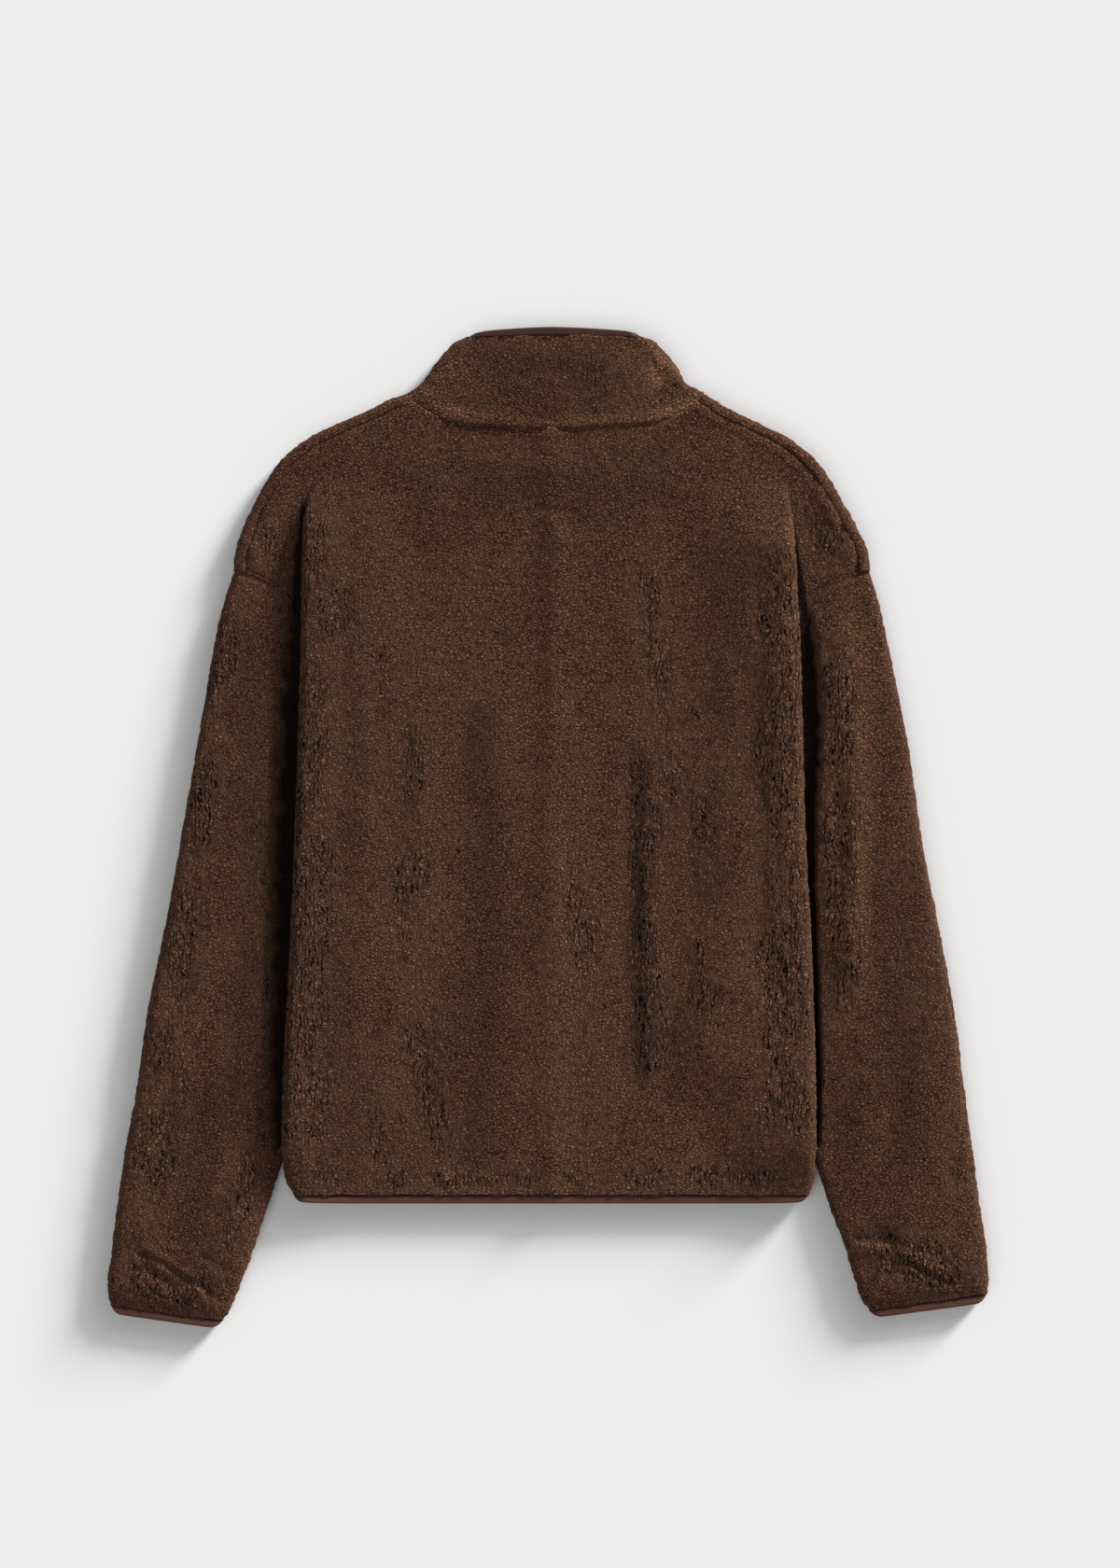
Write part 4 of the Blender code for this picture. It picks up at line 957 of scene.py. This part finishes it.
def make_teeth(resin):
    """Moulded zip teeth, set in turn on the two tapes, over the cord that they grip."""
    outline = np.array([(x, y) for x, y in TOOTH] + [(x, -y) for x, y in TOOTH[::-1]])
    middle = outline.mean(axis=0)
    bevel, narrowed = 0.25, 0.86
    levels = ((CHAIN_LOW, narrowed), (CHAIN_LOW + bevel, 1.0), (CHAIN_HIGH - bevel, 1.0),
              (CHAIN_HIGH, narrowed))
    tooth = np.concatenate([np.c_[middle + (outline - middle) * size, np.full(len(outline), z)]
                            for z, size in levels])
    index = np.arange(len(tooth)).reshape(len(levels), len(outline))
    shape = quads(closed_across(index)).tolist() + [index[0][::-1].tolist(), index[-1].tolist()]
    points, faces = [], []
    for side in (LEFT, RIGHT):
        first = ZIP_FOOT_Y + 1 + TOOTH_PITCH / 2 * side
        for y in np.arange(first, SLIDER_Y - 1.5, TOOTH_PITCH):
            faces += [[corner + len(tooth) * len(points) for corner in face] for face in shape]
            points.append(tooth * [OUT[side], 1, 1] + [CENTRE, y, 0])
    start = len(tooth) * len(points)
    # The cord is a plain box inside the teeth.
    wide, low, high = CHAIN_HALF - 0.5, CHAIN_LOW + 0.7, CHAIN_HIGH - 0.7
    points.append([(CENTRE + x, y, z) for z in (low, high) for y in (ZIP_FOOT_Y, SLIDER_Y - 0.5)
                   for x in (-wide, wide)])
    faces += [[start + corner for corner in face]
              for face in ((0, 2, 3, 1), (4, 5, 7, 6), (0, 1, 5, 4), (1, 3, 7, 5), (3, 2, 6, 7), (2, 0, 4, 6))]
    made = make_object("zip_teeth", np.concatenate(points), faces, [resin])
    made.data.shade_flat()
    outwards(made)
    return made


# ---------------------------------------------------------------- materials
def linear(code):
    """A hex sRGB colour as linear red, green, blue, alpha."""
    parts = [int(code[k:k + 2], 16) / 255 for k in (0, 2, 4)]
    return (*(c / 12.92 if c <= 0.04045 else ((c + 0.055) / 1.055) ** 2.4 for c in parts), 1.0)


class Look:
    """A material and its shader nodes. The textures' sizes are in metres."""

    def __init__(self, name, colour, roughness, **sockets):
        self.material = bpy.data.materials.new(name)
        self.material.use_nodes = True
        self.tree = self.material.node_tree
        self.shader = self.tree.nodes["Principled BSDF"]
        self.shader.inputs["Base Color"].default_value = linear(colour)
        self.shader.inputs["Roughness"].default_value = roughness
        for key, value in sockets.items():
            self.shader.inputs[key.replace("_", " ")].default_value = value

    def add(self, kind, settings=None, inputs=None, links=None):
        """Adds a node; settings are its properties, inputs its socket values, links its sockets' sources."""
        node = self.tree.nodes.new(kind)
        for key, value in (settings or {}).items():
            setattr(node, key, value)
        for key, value in (inputs or {}).items():
            node.inputs[key].default_value = value
        for key, source in (links or {}).items():
            self.tree.links.new(source, node.inputs[key])
        return node

    def feed(self, socket, source):
        """Joins a source to one of the shader's sockets."""
        self.tree.links.new(source, self.shader.inputs[socket])

    def place(self):
        return self.add("ShaderNodeTexCoord").outputs["Object"]

    def attribute(self, name):
        return self.add("ShaderNodeAttribute", {"attribute_name": name}).outputs["Fac"]

    def maths(self, operation, *values):
        """A Math node of sources or numbers."""
        node = self.add("ShaderNodeMath", {"operation": operation})
        for socket, value in zip(node.inputs, values):
            if isinstance(value, (int, float)):
                socket.default_value = value
            else:
                self.tree.links.new(value, socket)
        return node.outputs[0]

    def times(self, first, second):
        return self.maths("MULTIPLY", first, second)

    def most(self, first, second):
        return self.maths("MAXIMUM", first, second)

    def mapped(self, value, start, end, low=0.0, high=1.0, eased=False):
        """A value rescaled so that start gives low and end gives high, and held there beyond."""
        return self.add("ShaderNodeMapRange", {"interpolation_type": "SMOOTHSTEP" if eased else "LINEAR"},
                        {"From Min": start, "From Max": end, "To Min": low, "To Max": high},
                        {"Value": value}).outputs[0]

    def parts(self, vector):
        return self.add("ShaderNodeSeparateXYZ", {}, {}, {0: vector}).outputs

    def stretched(self, place, stretch):
        """Makes a texture longer along the axes whose factor is below 1."""
        return self.add("ShaderNodeVectorMath", {"operation": "MULTIPLY"}, {1: stretch}, {0: place}).outputs[0]

    def noise(self, place, size, detail=1.0, roughness=0.5, output="Fac"):
        return self.add("ShaderNodeTexNoise", {}, {"Scale": 1 / size, "Detail": detail, "Roughness": roughness},
                        {"Vector": place}).outputs[output]

    def waves(self, place, axis, spacing, distortion):
        """Ridges square to an axis, spacing apart; DIAGONAL ones are 1.41 times as far apart."""
        inputs = {"Scale": 2 / 6.28 / spacing, "Distortion": distortion}
        node = self.add("ShaderNodeTexWave", {"bands_direction": axis}, inputs, {"Vector": place})
        return node.outputs["Fac"]

    def crevices(self, place, size, stretch, wide):
        """The thin gaps between cells of pile, 1 in a gap: the cells are size across before the stretch."""
        edge = self.add("ShaderNodeTexVoronoi", {"feature": "DISTANCE_TO_EDGE"}, {"Scale": 1 / size},
                        {"Vector": self.stretched(place, stretch)}).outputs["Distance"]
        return self.mapped(edge, wide, 0.0, eased=True)

    def mixed(self, share, first, second):
        """Blends from first, a hex colour or a source, to second, a hex colour."""
        values, links = {7: linear(second)}, {0: share}
        if isinstance(first, str):
            values[6] = linear(first)
        else:
            links[6] = first
        return self.add("ShaderNodeMix", {"data_type": "RGBA"}, values, links).outputs[2]

    def relief(self, height, strength, distance):
        bump = self.add("ShaderNodeBump", {}, {"Strength": strength, "Distance": distance}, {"Height": height})
        self.feed("Normal", bump.outputs[0])


def fleece_material():
    look = Look("brown_pile_fleece", FLEECE_OLIVE, 0.95, Sheen_Roughness=0.5, Sheen_Tint=linear(FLEECE_SHEEN),
                Specular_IOR_Level=0.1)
    maths, times, most, place = look.maths, look.times, look.most, look.place()

    def blotches(size, low=0.35, high=0.65):
        return look.mapped(look.noise(place, size), low, high)

    # 5 mm waves bend the gaps between curls, so that none lines up.
    drift = look.noise(place, 0.005, output="Color")

    def bent(by):
        return look.add("ShaderNodeVectorMath", {"operation": "MULTIPLY_ADD"}, {1: (by, by, by)},
                        {0: drift, 2: place}).outputs[0]

    # Calm pile: wavy gaps along X between curls 2.1 mm tall and 3.2 mm wide, uneven in 6 mm blotches.
    calm = times(look.crevices(bent(0.004), 0.0021, (0.66, 1.0, 1.0), 0.27),
                 maths("MULTIPLY_ADD", blotches(0.006), 0.2, 0.8))
    # Coarse pile: deeper partings about 3.3 mm apart that wander along Y and break off after 5 to 15 mm.
    tufted = look.mapped(look.attribute("coarse"), 0.12, 0.75, 0.2)
    along = look.stretched(place, (1.0, 0.5, 1.0))
    across = times(look.parts(bent(0.0065))[0], 6.283 / 0.0033)
    comb = maths("COSINE", maths("MULTIPLY_ADD", look.noise(along, 0.0075), 13.0, across))
    broken = look.mapped(look.noise(along, 0.0042, 0.0), 0.30, 0.48)
    deep = times(look.mapped(comb, 0.1, 0.8, eased=True), broken)
    # Fainter gaps round 3.4 by 7 mm tufts join them.
    joined = times(look.crevices(bent(0.0032), 0.0034, (1.0, 0.48, 1.0), 0.22), 0.85)
    deep = times(most(deep, joined), tufted)
    # 1.7 mm curls and 0.9 mm fibres grain the whole face.
    curl = look.add("ShaderNodeTexVoronoi", {"feature": "F1"}, {"Scale": 1 / 0.0017},
                    {"Vector": place}).outputs["Distance"]
    fibre = look.noise(place, 0.0009, 2.0, 0.6)
    grain = maths("SUBTRACT", times(fibre, 0.6), times(curl, 1.2))
    gap_and_painted_shade = most(times(calm, 0.9), deep)
    look.relief(maths("SUBTRACT", times(grain, 0.6), gap_and_painted_shade), 1.0, 0.0012)
    # 30 mm patches drift from olive to red brown.
    light = look.mixed(blotches(0.030, 0.25, 0.75), FLEECE_OLIVE, FLEECE_RED)
    # Painted highlight: between deep gaps the tufts' tips are painted paler, as if lit, so that coarse pile is
    # no darker as a whole.
    light = look.mixed(times(tufted, 0.65), light, FLEECE_TIP_HIGHLIGHT)
    # Painted light and shade: the nap streaks make the pile lighter or darker.
    light = look.add("ShaderNodeVectorMath", {"operation": "SCALE"}, {},
                     {0: light, "Scale": maths("ADD", look.attribute("nap_and_painted_light"), 1.0)}).outputs[0]
    # Painted shade: gaps are painted near black, and the hollows of the grain and the partings a little darker.
    shade = most(look.mapped(grain, -0.05, -0.75, 0.0, 0.62), gap_and_painted_shade)
    shade = most(shade, times(look.attribute("parting"), 0.2))
    # Painted shade: the gap beside the body's edge is painted near black, and its sheen is taken away.
    fold = look.attribute("gap_and_painted_shade")
    shade = most(shade, times(fold, 0.97))
    look.feed("Sheen Weight", maths("MULTIPLY_ADD", fold, -SHEEN, SHEEN))
    look.feed("Base Color", look.mixed(shade, light, FLEECE_PAINTED_SHADE))
    return look.material


def backing_material():
    """The fleece's inner side: a smooth knitted ground."""
    look = Look("brown_knit_backing", "4a3428", 0.9, Sheen_Weight=0.2, Specular_IOR_Level=0.15)
    # 1.2 mm wales across the width.
    look.relief(look.waves(look.place(), "X", 0.0012, 1.5), 0.6, 0.0003)
    return look.material


def elastic_material(name, colour_code):
    """Elastic binding tape: fine ribs along its length on a matt ground."""
    look = Look(name, colour_code, 0.62, Sheen_Weight=0.06, Specular_IOR_Level=0.15)
    strip = look.add("ShaderNodeUVMap", {"uv_map": "strip"}).outputs[0]
    # 1.1 mm ribs along the tape, crossed by a 0.8 mm weave.
    ribs, weave = look.waves(strip, "Y", 0.0011, 0.3), look.waves(strip, "X", 0.0008, 0.3)
    look.relief(look.maths("ADD", look.times(ribs, 0.7), look.times(weave, 0.3)), 0.5, 0.00012)
    # Painted shadow: the first 3 mm, under the hanging pile, are painted dark.
    shaded = look.mapped(look.parts(strip)[1], 0.0042, 0.0022, 0.0, 0.85, eased=True)
    look.feed("Base Color", look.mixed(shaded, colour_code, FLEECE_PAINTED_SHADE))
    return look.material


def tape_material():
    """Woven polyester tape: fine herringbone, matt with a faint gleam."""
    look = Look("woven_zip_tape", "3c2d27", 0.7, Sheen_Weight=0.1, Specular_IOR_Level=0.25)
    # Diagonal ribs about 2.2 mm apart that turn back at every 3 mm of width.
    across = look.parts(look.place())
    turned = look.maths("PINGPONG", across[0], 0.003)
    slant = look.add("ShaderNodeCombineXYZ", {}, {}, {0: turned, 1: across[1]}).outputs[0]
    rib = look.waves(slant, "DIAGONAL", 0.0016, 0.2)
    look.relief(rib, 0.7, 0.0002)
    look.feed("Base Color", look.mixed(rib, "2c201b", "44342d"))
    return look.material


def resin_material():
    """Moulded acetal teeth: smooth, satin, with a faint mould grain."""
    look = Look("moulded_acetal_teeth", "392b25", 0.38, IOR=1.48)
    # 0.3 mm grain breaks up the gleam.
    look.feed("Roughness", look.mapped(look.noise(look.place(), 0.0003), 0.0, 1.0, 0.30, 0.48))
    return look.material


def metal_material():
    """Zinc alloy under a dark satin lacquer: fine brushing along the pull, brighter where the lacquer wears."""
    look = Look("dark_lacquered_zinc", ZINC_DARK, 0.36, Metallic=0.9)
    place = look.place()
    # 0.15 mm brush lines, 6 mm long, along Y.
    brush = look.noise(look.stretched(place, (1.0, 0.025, 1.0)), 0.00015)
    look.feed("Roughness", look.mapped(brush, 0.0, 1.0, 0.26, 0.50))
    # 2 mm worn patches.
    worn = look.mapped(look.noise(place, 0.002, 3.0), 0.58, 0.72, 0.0, 0.6)
    look.feed("Base Color", look.mixed(worn, ZINC_DARK, ZINC_WORN))
    return look.material


def main():
    fleece, backing = fleece_material(), backing_material()
    elastic = elastic_material("dark_elastic_binding", BINDING_COLOUR)
    # A darker copy of the binding for the collar: painted shade.
    shaded_collar_elastic = elastic_material("collar_elastic_binding_painted_shade", COLLAR_BINDING_SHADED_COLOUR)
    teeth = make_teeth(resin_material())
    tape, metal = tape_material(), metal_material()
    for node, finish in (("zip_tape_left", tape), ("zip_tape_right", tape), ("zip_slider", metal),
                         ("zip_pull", metal)):
        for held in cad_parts[node].material_slots:
            held.material = finish
    cloth = [fleece, backing]
    back, collar = make_back(cloth), make_collar(cloth)
    sleeves = [make_sleeve(side, cloth) for side in (LEFT, RIGHT)]
    fronts = [make_front(side, cloth) for side in (LEFT, RIGHT)]
    hem, cuffs, top = make_bindings(elastic, shaded_collar_elastic)
    # What each piece stands for, and the slot of its material.
    swaps = [(back, "back", "fleece"), (collar, "collar", "fleece"), (sleeves[0], "sleeve_left", "fleece"),
             (sleeves[1], "sleeve_right", "fleece"), (fronts[0], "front_left", "fleece"),
             (fronts[1], "front_right", "fleece"), (hem, "hem_binding", "binding"),
             (cuffs[0], "cuff_binding_left", "binding"), (cuffs[1], "cuff_binding_right", "binding"),
             (top, "collar_binding", "binding"), (teeth, "zip_chain", "zip_chain")]
    for piece, node, slot in swaps:
        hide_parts(node)
        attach(piece, "garment")


def make_stage():
    """The pale ground, the lights and the camera, which looks straight down."""
    floor = bpy.data.meshes.new("floor")
    corners = ((-1, -1), (1, -1), (1, 1), (-1, 1))
    floor.from_pydata([(x * FLOOR_REACH, y * FLOOR_REACH, -FLOOR_DROP) for x, y in corners], [], [(0, 1, 2, 3)])
    floor.materials.append(Look("pale_matt_paper", FLOOR_COLOUR, 1.0, Specular_IOR_Level=0.0).material)
    floor_object = bpy.data.objects.new("floor", floor)
    bpy.context.collection.objects.link(floor_object)
    scene = bpy.context.scene
    world = bpy.data.worlds.new("studio")
    world.use_nodes = True
    sky = world.node_tree.nodes["Background"]
    sky.inputs["Color"].default_value = (1.0, 1.0, 1.0, 1)
    sky.inputs["Strength"].default_value = WORLD_STRENGTH
    scene.world = world
    for name, strength, softness, azimuth, elevation in LIGHTS:
        light = bpy.data.lights.new(name, "SUN")
        light.energy, light.angle = strength, math.radians(softness)
        lamp = bpy.data.objects.new(name, light)
        lamp.rotation_euler = (0, math.radians(90 - elevation), math.radians(azimuth))
        bpy.context.collection.objects.link(lamp)
    camera_data = bpy.data.cameras.new("camera")
    camera_data.sensor_fit, camera_data.sensor_height = "VERTICAL", SENSOR
    camera_data.lens = SENSOR * CAMERA_DISTANCE / (PICTURE[1] * PIXEL * MM)
    camera = bpy.data.objects.new("camera", camera_data)
    camera.location = ((PICTURE[0] / 2 - ORIGIN[0]) * PIXEL * MM, (ORIGIN[1] - PICTURE[1] / 2) * PIXEL * MM,
                       CAMERA_DISTANCE + FACE_HEIGHT)
    bpy.context.collection.objects.link(camera)
    scene.camera = camera
    scene.view_settings.view_transform = "Standard"

main()
make_stage()
